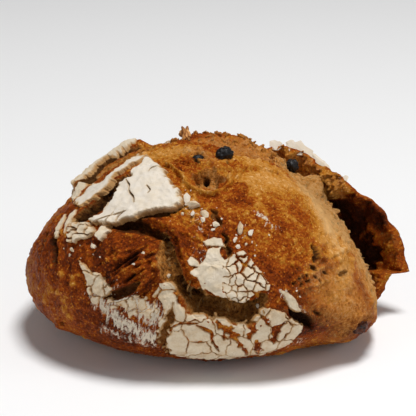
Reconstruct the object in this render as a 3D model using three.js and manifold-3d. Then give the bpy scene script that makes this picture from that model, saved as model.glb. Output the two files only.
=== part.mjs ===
// Raisin walnut loaf: an oval hearth loaf with a floury, cracked top, a shoulder torn open along the right
// with its crust standing off as a lip, and raisins and a piece of walnut that show at the crust.
// Millimetres, +Z up. The origin is on the flat base, under the heart of the loaf.
//
// Places on the crust are [u, v]: how far right and up they look to an eye in front of the loaf, aimed at AIM
// from SIGHT_TILT above the horizon. A feature with far: true lies where that line of sight leaves the loaf.

import * as THREE from "three";
import { mergeVertices } from "three/addons/utils/BufferGeometryUtils.js";
import Module from "manifold-3d";

// The form of the loaf, measured from its heart.
const LEFT = 104;
const RIGHT = 90;
const FRONT = 89;
const BACK = 86;
const BELLY = 42; // height of the heart, where the loaf is widest
const CROWN = 71; // rise of the crown above the heart
const KEEL = 50; // depth that a round underside would have; the base cuts it flat
const PLAN_POWER = 2.35; // 2 is an ellipse, more is squarer
const CROWN_POWER = 2.05;
const KEEL_POWER = 2.2;
const BASE_ROUNDING = 3; // softness of the edge between underside and base
const BASE_CUT = 0.6; // what is taken off the softened underside, so that the base is flat

// The eye that places the features.
const SIGHT_TILT = 20; // degrees
const SIGHT_DISTANCE = 900;
const AIM = new THREE.Vector3(-2, 0, 75);

// Swellings and hollows round the outline: clock angle from the right and spread in degrees, and height.
const SWELLINGS = [
  { name: "right heel", angle: 338, height: 21, spread: 16 },
  { name: "left cheek", angle: 186, height: 10, spread: 26 },
  { name: "left shoulder", angle: 156, height: -8, spread: 20 },
  { name: "right shoulder", angle: 38, height: -9, spread: 26 },
  { name: "left heel", angle: 226, height: -5, spread: 22 },
  { name: "front foot", angle: 268, height: -9, spread: 26 },
];
const OUTLINE_BAND = 0.55; // how far from the outline a swelling reaches, as a share of the radius
const UNDERSIDE = [0.7, 0.95]; // a swelling fades out between these shares of the radius below the heart

// Splits and folds in the crust: path, half-width and depth.
const SPLITS = [
  { name: "crown tear", path: [[-2, 35], [22, 33], [43, 29], [57, 23]], width: 10, depth: 8 },
  { name: "below the strip", path: [[-48, 20], [-55, 13], [-62, 5], [-78, -8]], width: 6, depth: 8 },
  { name: "behind the strip", path: [[-41, 34], [-53, 29], [-64, 22], [-72, 15]], width: 6, depth: 7 },
  { name: "over the knuckle", path: [[-60, -11], [-46, -8], [-34, -11], [-24, -16]], width: 6, depth: 6 },
  { name: "under the knuckle", path: [[-60, -46], [-53, -50], [-44, -47], [-36, -38]], width: 6, depth: 5 },
  {
    name: "crevice round the patch",
    path: [[-22, -17], [-22, -30], [-18, -45], [-9, -56], [6, -60], [22, -60], [35, -54]],
    width: 9,
    depth: 10,
  },
  { name: "notch beside the patch", path: [[7, -11], [11, -19], [12, -29]], width: 5, depth: 5 },
  { name: "front band", path: [[-21, -57], [-23, -66], [-27, -77], [-23, -87]], width: 5, depth: 3 },
  { name: "left cheek", path: [[-89, -11], [-92, -23], [-92, -34]], width: 5, depth: 4 },
  { name: "right heel", path: [[46, -56], [54, -63], [61, -70]], width: 5, depth: 6 },
  { name: "back shoulder", far: true, path: [[-38, 31], [-14, 25], [12, 21], [36, 25]], width: 7, depth: 8 },
  { name: "back flank", far: true, path: [[44, 2], [22, -6], [-4, -4], [-30, -13]], width: 7, depth: 7 },
];

// Plates of floury crust that stand proud: outline and thickness.
const PLATES = [
  {
    name: "top plate",
    outline: [[-40, 30], [-27, 22], [-15, 9], [-16, 3], [-35, -2], [-53, -8], [-68, -6], [-58, 5], [-49, 17]],
    thickness: 4,
  },
  {
    name: "strip plate",
    outline: [[-35, 31], [-48, 28], [-62, 17], [-78, 3], [-74, 0], [-65, 5], [-50, 18], [-40, 25]],
    thickness: 3.5,
  },
  { name: "flakes below the strip", outline: [[-82, -8], [-68, -8], [-64, -14], [-80, -21]], thickness: 3 },
  {
    name: "patch plate",
    outline: [[1, -24], [19, -26], [30, -35], [37, -46], [22, -55], [10, -53], [-8, -39], [-2, -31]],
    thickness: 2.5,
  },
  {
    name: "front band",
    outline: [
      [-76, -32], [-62, -41], [-61, -52], [-44, -52], [-25, -43], [-14, -58], [2, -64], [19, -67],
      [36, -59], [53, -68], [53, -82], [19, -88], [-17, -88], [-32, -81], [-58, -72], [-71, -55],
    ],
    thickness: 1.8,
  },
  {
    name: "back plate",
    far: true,
    outline: [[-48, 26], [-18, 19], [10, 15], [8, 4], [-26, 0], [-58, 9]],
    thickness: 3.5,
  },
  {
    name: "back band",
    far: true,
    outline: [[-60, -8], [-10, -11], [40, -7], [54, -18], [-34, -25]],
    thickness: 1.8,
  },
];
const PLATE_SLOPE = 2.5; // width of the slope at a plate's edge

// Broad swellings of the crust: path, half-width and height.
const RIDGES = [
  { name: "back strip", path: [[-43, 36], [-58, 31], [-68, 25], [-73, 18]], width: 10, height: 7 },
  { name: "knuckle", path: [[-52, -22], [-44, -28], [-36, -32]], width: 16, height: 5 },
  { name: "rim of the crown tear", path: [[4, 28], [22, 26], [40, 22]], width: 7, height: 2.5 },
  { name: "behind the crown tear", path: [[-6, 42], [14, 41], [30, 40], [44, 36]], width: 10, height: 4 },
];

// Round hollows and knobs: place, radius and height, less than 0 in a hollow.
const SPOTS = [
  { name: "eye in the crown", at: [1, 17], radius: 11, height: -8 },
  { name: "pit by the right heel", at: [54, -64], radius: 5, height: -6 },
  { name: "knob on the right heel", at: [78, -77], radius: 6, height: 3 },
  { name: "knob on the left heel", at: [-85, -69], radius: 6, height: 4 },
];

// The torn shoulder: the crust behind the tear stands off the loaf as a lip. Angles are in degrees.
// A section of the lip runs from its root, LIP_ROOT behind the outline, to its free edge, LIP_EDGE behind it.
const LIP_TOP = 68;
const LIP_CORNER = -5; // clock angle of the free corner at the lip's lower end
const LIP_BOTTOM = -14;
const LIP_ROOT = 34;
const LIP_EDGE = 6;
const LIP_REACH = 26; // how far the free edge stands off the loaf
const LIP_TOP_REACH = 3;
const LIP_TAIL_REACH = 14; // just below the corner
const LIP_FULL_REACH_FROM = 14; // clock angle below which the lip has its full reach
const LIP_RAGGEDNESS = 1.2; // unevenness of the free edge
const LIP_ROOT_THICKNESS = 9;
const LIP_EDGE_THICKNESS = 2.5;
const LIP_CURL = 1.6; // 1 is a straight section, more keeps the root close to the loaf
const LIP_SINK = 1.5; // how deep the root is set into the loaf
const LIP_COLUMNS = 34;
const LIP_ROWS = 9;
const TEAR_DEPTH = 10; // of the gap under the lip
const TEAR_FRONT = [5, 16]; // the gap deepens between these angles behind the outline
const TEAR_BACK = [26, 38]; // and ends between these
const TEAR_TOP = [44, LIP_TOP]; // it fades out between these clock angles
const TEAR_FOOT = [-20, LIP_CORNER];

// Flakes of floury crust that stand on the ridge behind the tear: clock angle in degrees, height and width.
const RIDGE_FLAKES = [
  { angle: 60, height: 5, width: 9 },
  { angle: 54, height: 6, width: 8 },
  { angle: 49, height: 5, width: 11 },
  { angle: 42, height: 3, width: 12 },
  { angle: 31, height: 3, width: 8 },
];
const FLAKE_THICKNESS = 2;
const FLAKE_ROOT = 4; // depth of a flake's foot in the loaf
const FLAKE_TILT = 9; // degrees behind the outline
const FLAKE_SEAT = 0.8; // where on the lip it stands, as a share of the lip's reach

// Fruit and nut: place, half-lengths along their own axes, turn in degrees, how far the middle stands out.
const RAISINS = [
  { name: "raisin_crown", at: [10, 31], half: [5.2, 4.2, 4.6], turn: 20, proud: 1 },
  { name: "raisin_shoulder", at: [51, 26], half: [5.4, 3.9, 4.2], turn: -40, proud: 1 },
  { name: "raisin_hollow", at: [-6, 29], half: [4, 3, 3.4], turn: 10, proud: -1 },
  { name: "raisin_heel", at: [90, -70], half: [5, 4.2, 4.4], turn: 35, proud: 0.5 },
  { name: "raisin_back_left", far: true, at: [40, 13], half: [5, 4, 4.2], turn: 15, proud: 0.5 },
  { name: "raisin_back_right", far: true, at: [-62, -2], half: [5.3, 4.3, 4.4], turn: 60, proud: 0.5 },
];
const WALNUT = { name: "walnut_piece", at: [-13, 41], half: [4.6, 4.2, 6], turn: 0, proud: 2.5 };
const RAISIN_WRINKLE = 0.09; // depth of the wrinkles as a share of the half-length
const WALNUT_RUGGEDNESS = 0.18;
const POCKET_GAP = 0.4; // between a raisin or the walnut and its pocket in the crust
const PEBBLE_SIDES = 12;
const PEBBLE_RINGS = 8;

const GRID = 66; // cells along each side of the grid that folds round the loaf
const GRID_FRONT_SHARE = 0.35; // how much closer its lines lie at the front
const MERGE = 1e-3; // points nearer than this are one

const { clamp, degToRad, lerp, radToDeg, smoothstep } = THREE.MathUtils;

const HEART = new THREE.Vector3(0, 0, BELLY);
const ACROSS = new THREE.Vector3(1, 0, 0);
const SIGHT = new THREE.Vector3(0, 1, 0).applyAxisAngle(ACROSS, -degToRad(SIGHT_TILT));
const UPWARD = new THREE.Vector3().crossVectors(ACROSS, SIGHT);
const EYE = AIM.clone().addScaledVector(SIGHT, -SIGHT_DISTANCE);

// A vector from its parts across, upward and along the line of sight.
function sightVector(across, upward, along) {
  const v = ACROSS.clone().multiplyScalar(across);
  return v.addScaledVector(UPWARD, upward).addScaledVector(SIGHT, along);
}

// The unit direction at a clock angle round the outline and an angle behind it.
function clockDirection(angle, behind) {
  const a = degToRad(angle);
  const b = degToRad(behind);
  return sightVector(Math.cos(b) * Math.cos(a), Math.cos(b) * Math.sin(a), Math.sin(b));
}

const clockAngle = (d) => radToDeg(Math.atan2(d.dot(UPWARD), d.dot(ACROSS)));
const angleBehind = (d) => radToDeg(Math.asin(clamp(d.dot(SIGHT), -1, 1)));

// How far the outline's swellings move the crust along a unit direction.
function swelling(d) {
  const band = Math.exp(-((d.dot(SIGHT) / OUTLINE_BAND) ** 2)) * (1 - smoothstep(-d.z, ...UNDERSIDE));
  let height = 0;
  for (const s of SWELLINGS) {
    const turn = degToRad(clockAngle(d) - s.angle);
    const away = radToDeg(Math.atan2(Math.sin(turn), Math.cos(turn))) / s.spread;
    height += s.height * Math.exp(-away * away) * band;
  }
  return height;
}

// Distance from the heart to the plain form along a unit direction: an oval with its own length each way.
function formRadius(d) {
  const x = Math.abs(d.x) / (d.x < 0 ? LEFT : RIGHT);
  const y = Math.abs(d.y) / (d.y < 0 ? FRONT : BACK);
  const z = Math.abs(d.z) / (d.z < 0 ? KEEL : CROWN);
  const power = d.z < 0 ? KEEL_POWER : CROWN_POWER;
  const plan = (x ** PLAN_POWER + y ** PLAN_POWER) ** (1 / PLAN_POWER);
  return (plan ** power + z ** power) ** (-1 / power) + swelling(d);
}

const formPoint = (d) => HEART.clone().addScaledVector(d, formRadius(d));
const directionTo = (p) => p.clone().sub(HEART).normalize();

// Where the line of sight through [u, v] meets the plain form, on its near or its far side.
// Where it passes the form by, the place is the form's nearest to it.
function place([u, v], far = false) {
  const ray = sightVector(u, v, SIGHT_DISTANCE).normalize();
  const at = (t) => EYE.clone().addScaledVector(ray, t);
  const depth = (t) => formRadius(directionTo(at(t))) - at(t).distanceTo(HEART);
  const reach = 2 * Math.max(FRONT, BACK);
  const step = far ? -1 : 1;
  let deepest = SIGHT_DISTANCE - step * reach;
  for (let i = 0; i < 2 * reach && depth(deepest) < 0; i++) {
    const t = SIGHT_DISTANCE + step * (i - reach);
    if (depth(t) > depth(deepest)) {
      deepest = t;
    }
  }
  return formPoint(directionTo(at(deepest)));
}

// A smooth line on the crust through the places of a path.
function lineOn({ path, far }) {
  const corners = path.map((at) => place(at, far));
  return new THREE.CatmullRomCurve3(corners).getPoints(8 * path.length);
}

// How near a point is to a line, and the share of the line's length at which it is nearest.
function nearestOn(line, p) {
  const stretch = new THREE.Line3();
  const foot = new THREE.Vector3();
  let distance = Infinity;
  let along = 0;
  for (let i = 0; i + 1 < line.length; i++) {
    stretch.set(line[i], line[i + 1]);
    const t = stretch.closestPointToPointParameter(p, true);
    const d = stretch.at(t, foot).distanceTo(p);
    if (d < distance) {
      distance = d;
      along = (i + t) / (line.length - 1);
    }
  }
  return { distance, along };
}

// Relief along a line: its full height on the line, fading over the half-width and at both ends.
function lineRelief(feature, height) {
  const line = lineOn(feature);
  return (p) => {
    const { distance, along } = nearestOn(line, p);
    const ends = smoothstep(Math.min(along, 1 - along), -0.05, 0.12);
    return height * ends * (1 - smoothstep(distance, 0.15 * feature.width, feature.width));
  };
}

// Distance from a point to a polygon's edge in its plane, more than 0 inside.
function insideDistance(polygon, q) {
  let distance = Infinity;
  let within = false;
  polygon.forEach((a, i) => {
    const b = polygon[(i + 1) % polygon.length];
    const side = b.clone().sub(a);
    const t = clamp(q.clone().sub(a).dot(side) / side.lengthSq(), 0, 1);
    distance = Math.min(distance, a.clone().addScaledVector(side, t).distanceTo(q));
    const spans = a.y > q.y !== b.y > q.y;
    if (spans && q.x < a.x + ((q.y - a.y) / side.y) * side.x) {
      within = !within;
    }
  });
  return within ? distance : -distance;
}

// Relief inside an outline, which is laid out flat across the direction of its middle.
function plateRelief({ outline, thickness, far }) {
  const corners = outline.map((at) => place(at, far));
  const sum = corners.reduce((total, c) => total.add(c), new THREE.Vector3());
  const middle = sum.divideScalar(corners.length);
  const outward = directionTo(middle);
  const across = new THREE.Vector3().crossVectors(UPWARD, outward).normalize();
  const upward = new THREE.Vector3().crossVectors(outward, across);
  const flat = (p) => {
    const from = p.clone().sub(middle);
    return new THREE.Vector2(from.dot(across), from.dot(upward));
  };
  const polygon = corners.map(flat);
  return (p) => {
    const faces = directionTo(p).dot(outward) > 0.3;
    const inside = faces ? insideDistance(polygon, flat(p)) : -PLATE_SLOPE;
    return thickness * smoothstep(inside, -PLATE_SLOPE / 2, PLATE_SLOPE / 2);
  };
}

// A round hollow or knob.
function spotRelief({ at, radius, height }) {
  const middle = place(at);
  return (p) => height * (1 - smoothstep(p.distanceTo(middle), 0.35 * radius, radius));
}

// The gap that the tear leaves under the lip.
function tearRelief(p) {
  const d = directionTo(p);
  const clock = clockAngle(d);
  const behind = angleBehind(d);
  const length = smoothstep(clock, ...TEAR_FOOT) * (1 - smoothstep(clock, ...TEAR_TOP));
  const breadth = smoothstep(behind, ...TEAR_FRONT) * (1 - smoothstep(behind, ...TEAR_BACK));
  return -TEAR_DEPTH * length * breadth;
}

const RELIEF = [
  ...SPLITS.map((split) => lineRelief(split, -split.depth)),
  ...RIDGES.map((ridge) => lineRelief(ridge, ridge.height)),
  ...PLATES.map(plateRelief),
  ...SPOTS.map(spotRelief),
  tearRelief,
];

// Rests a point of the underside on the base: heights below the floor come up to it, with a soft edge.
function onBase(p) {
  const soft = (p.z + Math.hypot(p.z, BASE_ROUNDING)) / 2;
  return p.setZ(Math.max(0, soft - BASE_CUT));
}

function crustPoint(d) {
  const p = formPoint(d);
  const relief = RELIEF.reduce((sum, height) => sum + height(p), 0);
  return onBase(p.addScaledVector(d, relief));
}

// The direction of a crossing of the square grid, which folds round the loaf as an octahedron from the front.
function gridDirection(i, j) {
  const a = (2 * i) / GRID - 1;
  const b = (2 * j) / GRID - 1;
  const front = 1 - Math.abs(a) - Math.abs(b);
  const folded = Math.max(0, -front);
  const even = new THREE.Vector3(a - Math.sign(a) * folded, b - Math.sign(b) * folded, front).normalize();
  const angle = Math.acos(clamp(even.z, -1, 1));
  const closer = angle - GRID_FRONT_SHARE * Math.sin(angle);
  const side = Math.hypot(even.x, even.y) || 1;
  const spread = Math.sin(closer) / side;
  return sightVector(spread * even.x, spread * even.y, -Math.cos(closer));
}

// A mesh from points and four-cornered cells, with equal points merged.
function meshOf(points, cells) {
  const geometry = new THREE.BufferGeometry().setFromPoints(points);
  geometry.setIndex(cells.flatMap(([a, b, c, d]) => [a, b, c, a, c, d]));
  return mergeVertices(geometry, MERGE);
}

function loafGeometry() {
  const row = GRID + 1;
  const points = [];
  const cells = [];
  for (let j = 0; j <= GRID; j++) {
    for (let i = 0; i <= GRID; i++) {
      points.push(crustPoint(gridDirection(i, j)));
      if (i < GRID && j < GRID) {
        const a = j * row + i;
        const cell = [a, a + 1, a + row + 1, a + row];
        // A cell is split along the fold of its own quarter of the grid.
        const fold = i < GRID / 2 === j < GRID / 2;
        cells.push(fold ? [...cell.slice(1), cell[0]] : cell);
      }
    }
  }
  return meshOf(points, cells);
}

// How far the lip's free edge stands off the loaf at a clock angle.
function lipReach(angle) {
  if (angle < LIP_CORNER) {
    return LIP_TAIL_REACH * smoothstep(angle, LIP_BOTTOM, LIP_CORNER);
  }
  const rag = LIP_RAGGEDNESS * Math.sin(0.55 * angle) * Math.sin(0.17 * angle);
  return rag + lerp(LIP_REACH, LIP_TOP_REACH, smoothstep(angle, LIP_FULL_REACH_FROM, LIP_TOP));
}

// A point of the lip: s is 0 at its root and 1 at its free edge, inward is 0 outside and 1 inside.
function lipPoint(angle, s, inward) {
  const d = clockDirection(angle, lerp(LIP_ROOT, LIP_EDGE, s));
  const outer = formRadius(d) - LIP_SINK * (1 - s) + lipReach(angle) * s ** LIP_CURL;
  return HEART.clone().addScaledVector(d, outer - inward * lerp(LIP_ROOT_THICKNESS, LIP_EDGE_THICKNESS, s));
}

// The lip is a slab: each of its sections is a ring, up its outer face and back down its inner face.
function lipGeometry() {
  const ring = 2 * LIP_ROWS;
  const points = [];
  const cells = [];
  for (let i = 0; i < LIP_COLUMNS; i++) {
    const angle = lerp(LIP_BOTTOM, LIP_TOP, i / (LIP_COLUMNS - 1));
    for (let k = 0; k < ring; k++) {
      const row = k < LIP_ROWS ? k : ring - 1 - k;
      points.push(lipPoint(angle, row / (LIP_ROWS - 1), k < LIP_ROWS ? 0 : 1));
      if (i > 0) {
        const next = i * ring + ((k + 1) % ring);
        cells.push([i * ring + k, next, next - ring, i * ring + k - ring]);
      }
    }
  }
  const last = (LIP_COLUMNS - 1) * ring;
  for (let k = 0; k + 1 < LIP_ROWS; k++) {
    const end = [k, k + 1, ring - 2 - k, ring - 1 - k];
    cells.push(end);
    cells.push(end.map((n) => last + n).toReversed());
  }
  return meshOf(points, cells);
}

// A flake on the ridge: a thin, pointed chip with its foot in the lip.
function flakeGeometry({ angle, height, width }) {
  const chip = new THREE.Shape();
  chip.moveTo(-0.5 * width, -FLAKE_ROOT);
  chip.lineTo(0.5 * width, -FLAKE_ROOT);
  chip.lineTo(0.35 * width, 0.55 * height);
  chip.lineTo(-0.1 * width, height);
  chip.lineTo(-0.45 * width, 0.3 * height);
  const d = clockDirection(angle, FLAKE_TILT);
  const along = new THREE.Vector3().crossVectors(d, SIGHT).normalize();
  const through = new THREE.Vector3().crossVectors(along, d);
  const foot = HEART.clone().addScaledVector(d, formRadius(d) + FLAKE_SEAT * lipReach(angle));
  const stand = new THREE.Matrix4().makeBasis(along, d, through).setPosition(foot);
  const geometry = new THREE.ExtrudeGeometry(chip, { depth: FLAKE_THICKNESS, bevelEnabled: false });
  return geometry.applyMatrix4(stand);
}

// A lumpy pebble: a ball whose radius follows waves round it, with half-lengths along its own axes.
// Its pocket is the same pebble, grown all round.
function pebbleGeometry({ half, ruggedness, seed }, growth = 0) {
  const ball = new THREE.SphereGeometry(1, PEBBLE_SIDES, PEBBLE_RINGS);
  ball.deleteAttribute("normal");
  ball.deleteAttribute("uv");
  const geometry = mergeVertices(ball, MERGE);
  const position = geometry.getAttribute("position");
  const lengths = new THREE.Vector3(...half);
  const p = new THREE.Vector3();
  for (let i = 0; i < position.count; i++) {
    p.fromBufferAttribute(position, i);
    const wave = Math.sin(5 * p.x + seed) * Math.cos(4 * p.y - seed) + 0.6 * Math.sin(7 * p.z + 2 * seed);
    p.multiplyScalar(1 + ruggedness * wave).multiply(lengths);
    p.setLength(p.length() + growth);
    position.setXYZ(i, p.x, p.y, p.z);
  }
  return geometry;
}

// Where a raisin or nut sits: its middle, and its axes, turned about the crust's outward direction.
function seatOf({ at, far, turn, proud }) {
  const foot = place(at, far);
  const outward = directionTo(foot);
  const across = new THREE.Vector3().crossVectors(UPWARD, outward).normalize();
  across.applyAxisAngle(outward, degToRad(turn));
  const upward = new THREE.Vector3().crossVectors(outward, across);
  const middle = foot.addScaledVector(outward, proud);
  return new THREE.Matrix4().makeBasis(across, upward, outward).setPosition(middle);
}

const wasm = await Module();
wasm.setup();

function solidOf(geometry) {
  const plain = new THREE.BufferGeometry();
  plain.setAttribute("position", geometry.getAttribute("position"));
  plain.setIndex(geometry.index);
  const merged = mergeVertices(plain, MERGE);
  const vertProperties = new Float32Array(merged.getAttribute("position").array);
  const triVerts = new Uint32Array(merged.index.array);
  return new wasm.Manifold(new wasm.Mesh({ numProp: 3, vertProperties, triVerts }));
}

function geometryOf(solid) {
  const { vertProperties, triVerts } = solid.getMesh();
  const geometry = new THREE.BufferGeometry();
  geometry.setAttribute("position", new THREE.BufferAttribute(vertProperties, 3));
  geometry.setIndex(new THREE.BufferAttribute(triVerts, 1));
  geometry.computeVertexNormals();
  return geometry;
}

// The largest of the bodies that a solid falls into, without loose scraps.
function mainBody(solid) {
  return solid.decompose().reduce((most, body) => (body.volume() > most.volume() ? body : most));
}

function namedMesh(name, geometry, material) {
  const mesh = new THREE.Mesh(geometry, material);
  mesh.name = name;
  return mesh;
}

const crust = new THREE.MeshStandardMaterial({ color: 0x8a4f22, roughness: 0.75, metalness: 0 });
const driedFruit = new THREE.MeshStandardMaterial({ color: 0x17100f, roughness: 0.4, metalness: 0 });
const kernel = new THREE.MeshStandardMaterial({ color: 0x9a5a22, roughness: 0.7, metalness: 0 });

const pebbles = [
  ...RAISINS.map((raisin, i) => ({ ...raisin, seed: i, ruggedness: RAISIN_WRINKLE, material: driedFruit })),
  { ...WALNUT, seed: RAISINS.length, ruggedness: WALNUT_RUGGEDNESS, material: kernel },
];

const bread = new THREE.Group();
let body = solidOf(loafGeometry()).add(solidOf(lipGeometry()));
for (const flake of RIDGE_FLAKES) {
  body = body.add(solidOf(flakeGeometry(flake)));
}
for (const pebble of pebbles) {
  const seat = seatOf(pebble);
  const mesh = namedMesh(pebble.name, pebbleGeometry(pebble), pebble.material);
  mesh.applyMatrix4(seat);
  bread.add(mesh);
  body = body.subtract(solidOf(pebbleGeometry(pebble, POCKET_GAP).applyMatrix4(seat)));
}
bread.add(namedMesh("loaf", geometryOf(mainBody(body)), crust));

export default bread;
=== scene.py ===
"""A raisin walnut bread loaf: baked crust, torn lip, flour crust, raisins and walnut.

Sizes are millimetres until a mesh is made. Places on the loaf are pixels of the photograph's
416 x 416 frame, or of the same frame seen from behind, and sight lines carry them onto the crust.
"""

import logging
from collections.abc import Sequence
from dataclasses import dataclass
from enum import Enum

import bpy
import numpy as np
from mathutils import Matrix, Vector


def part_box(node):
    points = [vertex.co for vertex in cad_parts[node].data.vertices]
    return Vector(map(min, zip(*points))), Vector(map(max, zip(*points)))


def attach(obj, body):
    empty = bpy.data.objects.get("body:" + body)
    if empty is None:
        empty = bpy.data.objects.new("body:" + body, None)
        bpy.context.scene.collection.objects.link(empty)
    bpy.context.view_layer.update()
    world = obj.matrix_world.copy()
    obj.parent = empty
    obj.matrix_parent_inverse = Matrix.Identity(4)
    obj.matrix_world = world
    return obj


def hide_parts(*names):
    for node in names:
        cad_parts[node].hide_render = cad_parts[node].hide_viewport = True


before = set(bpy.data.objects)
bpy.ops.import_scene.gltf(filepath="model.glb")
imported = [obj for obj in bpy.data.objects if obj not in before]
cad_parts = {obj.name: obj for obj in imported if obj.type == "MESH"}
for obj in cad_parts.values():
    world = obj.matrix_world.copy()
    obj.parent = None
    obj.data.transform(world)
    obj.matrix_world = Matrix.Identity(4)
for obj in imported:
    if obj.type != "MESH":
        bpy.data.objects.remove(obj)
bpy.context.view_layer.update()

Array = np.ndarray
Stops = tuple[tuple[float, str], ...]
Span = tuple[float, float]
Pixels = tuple[Span, ...]
Triple = tuple[float, float, float]
Material = bpy.types.Material
Piece = bpy.types.Object
Sockets = dict[str | int, object]

LOG = logging.getLogger("raisin_walnut_loaf")
METRES_PER_MM = 0.001
FRAME_PX = 416
HEART = np.array([0.0, 0.0, 42.0])  # the point inside the loaf that every radius starts from
MAP_RADIUS = 85.0  # the loaf's usual radius, which gives the flat maps their scale
SEED = 5
FAR = 9.0  # a distance on the flour's map that is past every edge and crack
TINY = 1e-9  # keeps divisions by a length from dividing by nothing
OCTAVE_STEP = 17  # keeps the patterns of a noise's octaves apart
CELL_LOOSENESS = 0.42  # how far a crack cell's centre strays from the middle of its square


def smooth_step(value: Array, low: float, high: float) -> Array:
    """Rise from 0 at low to 1 at high along 3t^2 - 2t^3."""
    t = np.clip((value - low) / (high - low), 0.0, 1.0)
    return t * t * (3.0 - 2.0 * t)


def unit(vectors: Array) -> Array:
    """Scale vectors to a length of 1."""
    return vectors / np.linalg.norm(vectors, axis=-1, keepdims=True)


def corner_value(corner: Array, seed: int) -> Array:
    """Give each whole-number lattice corner a number of its own.

    The three whole numbers and the seed are multiplied by large odd numbers, joined and stirred.

    Args:
        corner: Lattice corners, three whole numbers each.
        seed: Picks another set of numbers.

    Returns:
        One number from -1 to 1 for each corner, the same in every run.
    """
    part = corner.astype(np.int64).astype(np.uint32)
    mixed = part[..., 0] * np.uint32(0x8DA6B343) ^ part[..., 1] * np.uint32(0xD8163841)
    mixed = mixed ^ part[..., 2] * np.uint32(0xCB1AB31F) ^ np.uint32(seed * 0x9E3779B9 & 0xFFFFFFFF)
    mixed = (mixed ^ (mixed >> np.uint32(15))) * np.uint32(0x2C1B3C6D)
    mixed = (mixed ^ (mixed >> np.uint32(12))) * np.uint32(0x297A2D39)
    mixed = mixed ^ (mixed >> np.uint32(15))
    return mixed / (0xFFFFFFFF / 2) - 1.0


@dataclass(frozen=True)
class Noise:
    """Value noise: lattice numbers blended smoothly between the corners of each cell.

    The size is the width of the largest lumps, the pattern picks other numbers, and each further octave
    is half as wide and half as strong.
    """

    size: float
    pattern: int
    octaves: int = 1
    strength: float = 1.0

    def at(self, points: Array) -> Array:
        """Work out the lumps.

        Args:
            points: Places, three numbers each, in the units of the size.

        Returns:
            About -1 to 1 for each point, times the strength.
        """
        total = np.zeros(len(points))
        for octave in range(self.octaves):
            scaled = points / (self.size * 0.5**octave)
            cell = np.floor(scaled)
            t = scaled - cell
            t = t * t * t * (t * (t * 6.0 - 15.0) + 10.0)
            seed = SEED + self.pattern + OCTAVE_STEP * octave
            for step in np.ndindex(2, 2, 2):
                share = np.prod(np.where(step, t, 1.0 - t), axis=1)
                total += 0.5**octave * share * corner_value(cell + step, seed)
        return self.strength * total


def crack_cells(places: Array, size: float, seed: int) -> Array:
    """Break a flat map into uneven cells, as drying flour paste cracks.

    Each lattice square has one loose centre. A place belongs to its nearest centre, and its distance
    to the border is the least distance to the mid-line between that centre and any other.

    Args:
        places: Map places, two numbers each.
        size: Usual width of a cell.
        seed: Picks another pattern.

    Returns:
        The distance from each place to its cell's border.
    """
    square = np.floor(places / size)
    around = np.array([(i, j) for i in range(-2, 3) for j in range(-2, 3)])
    corner = square[:, None] + around
    key = np.concatenate([corner, np.zeros((*corner.shape[:2], 1))], axis=2)
    loose = np.stack([corner_value(key, seed), corner_value(key, seed + 1)], axis=2)
    centre = (corner + 0.5 + CELL_LOOSENESS * loose) * size
    row = np.arange(len(places))
    home = np.linalg.norm(centre - places[:, None], axis=2).argmin(axis=1)
    own = centre[row, home][:, None]
    apart = centre - own
    length = np.linalg.norm(apart, axis=2)
    border = np.sum(((centre + own) / 2 - places[:, None]) * apart, axis=2) / np.maximum(length, TINY)
    border[row, home] = np.inf
    return border.min(axis=1)


def grid_cells(index: Array, closed: bool = False) -> Array:
    """List a grid's four-sided cells.

    Args:
        index: The number of each grid point.
        closed: Whether the last column joins the first.

    Returns:
        Four corners for each cell, counter-clockwise.
    """
    beside = np.roll(index, -1, axis=1)
    cells = np.stack([index[:-1], index[1:], beside[1:], beside[:-1]], axis=2)
    return (cells if closed else cells[:, :-1]).reshape(-1, 4)


def smooth_path(knots: Array, pieces: int = 6) -> Array:
    """Carry a Catmull-Rom curve through the knots.

    Args:
        knots: The path's corners.
        pieces: Straight pieces between each two.

    Returns:
        The curve's points.
    """
    if len(knots) < 3:
        return knots
    ghost = np.vstack([2 * knots[0] - knots[1], knots, 2 * knots[-1] - knots[-2]])
    a, b, c, d = ghost[:-3, None], ghost[1:-2, None], ghost[2:-1, None], ghost[3:, None]
    t = np.linspace(0.0, 1.0, pieces, endpoint=False)[None, :, None]
    curve = b + 0.5 * t * (c - a + t * (2 * a - 5 * b + 4 * c - d + t * (3 * (b - c) + d - a)))
    return np.vstack([curve.reshape(-1, knots.shape[1]), knots[-1:]])


def path_distance(places: Array, path: Array) -> tuple[Array, Array]:
    """Measure map places against a path of straight pieces.

    Args:
        places: Map places, two numbers each.
        path: The path's corners, or one point.

    Returns:
        The distance to the path's nearest point, and that point's share of the way along, 0 to 1.
    """
    if len(path) == 1:
        return np.linalg.norm(places - path[0], axis=1), np.full(len(places), 0.5)
    run = np.diff(path, axis=0)
    length = np.linalg.norm(run, axis=1)
    offset = places[:, None] - path[:-1]
    share = np.clip(np.sum(offset * run, axis=2) / length**2, 0.0, 1.0)
    gap = np.linalg.norm(offset - share[..., None] * run, axis=2)
    best = gap.argmin(axis=1)
    row = np.arange(len(places))
    before = np.cumsum(length) - length
    return gap[row, best], (before[best] + share[row, best] * length[best]) / length.sum()


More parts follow.
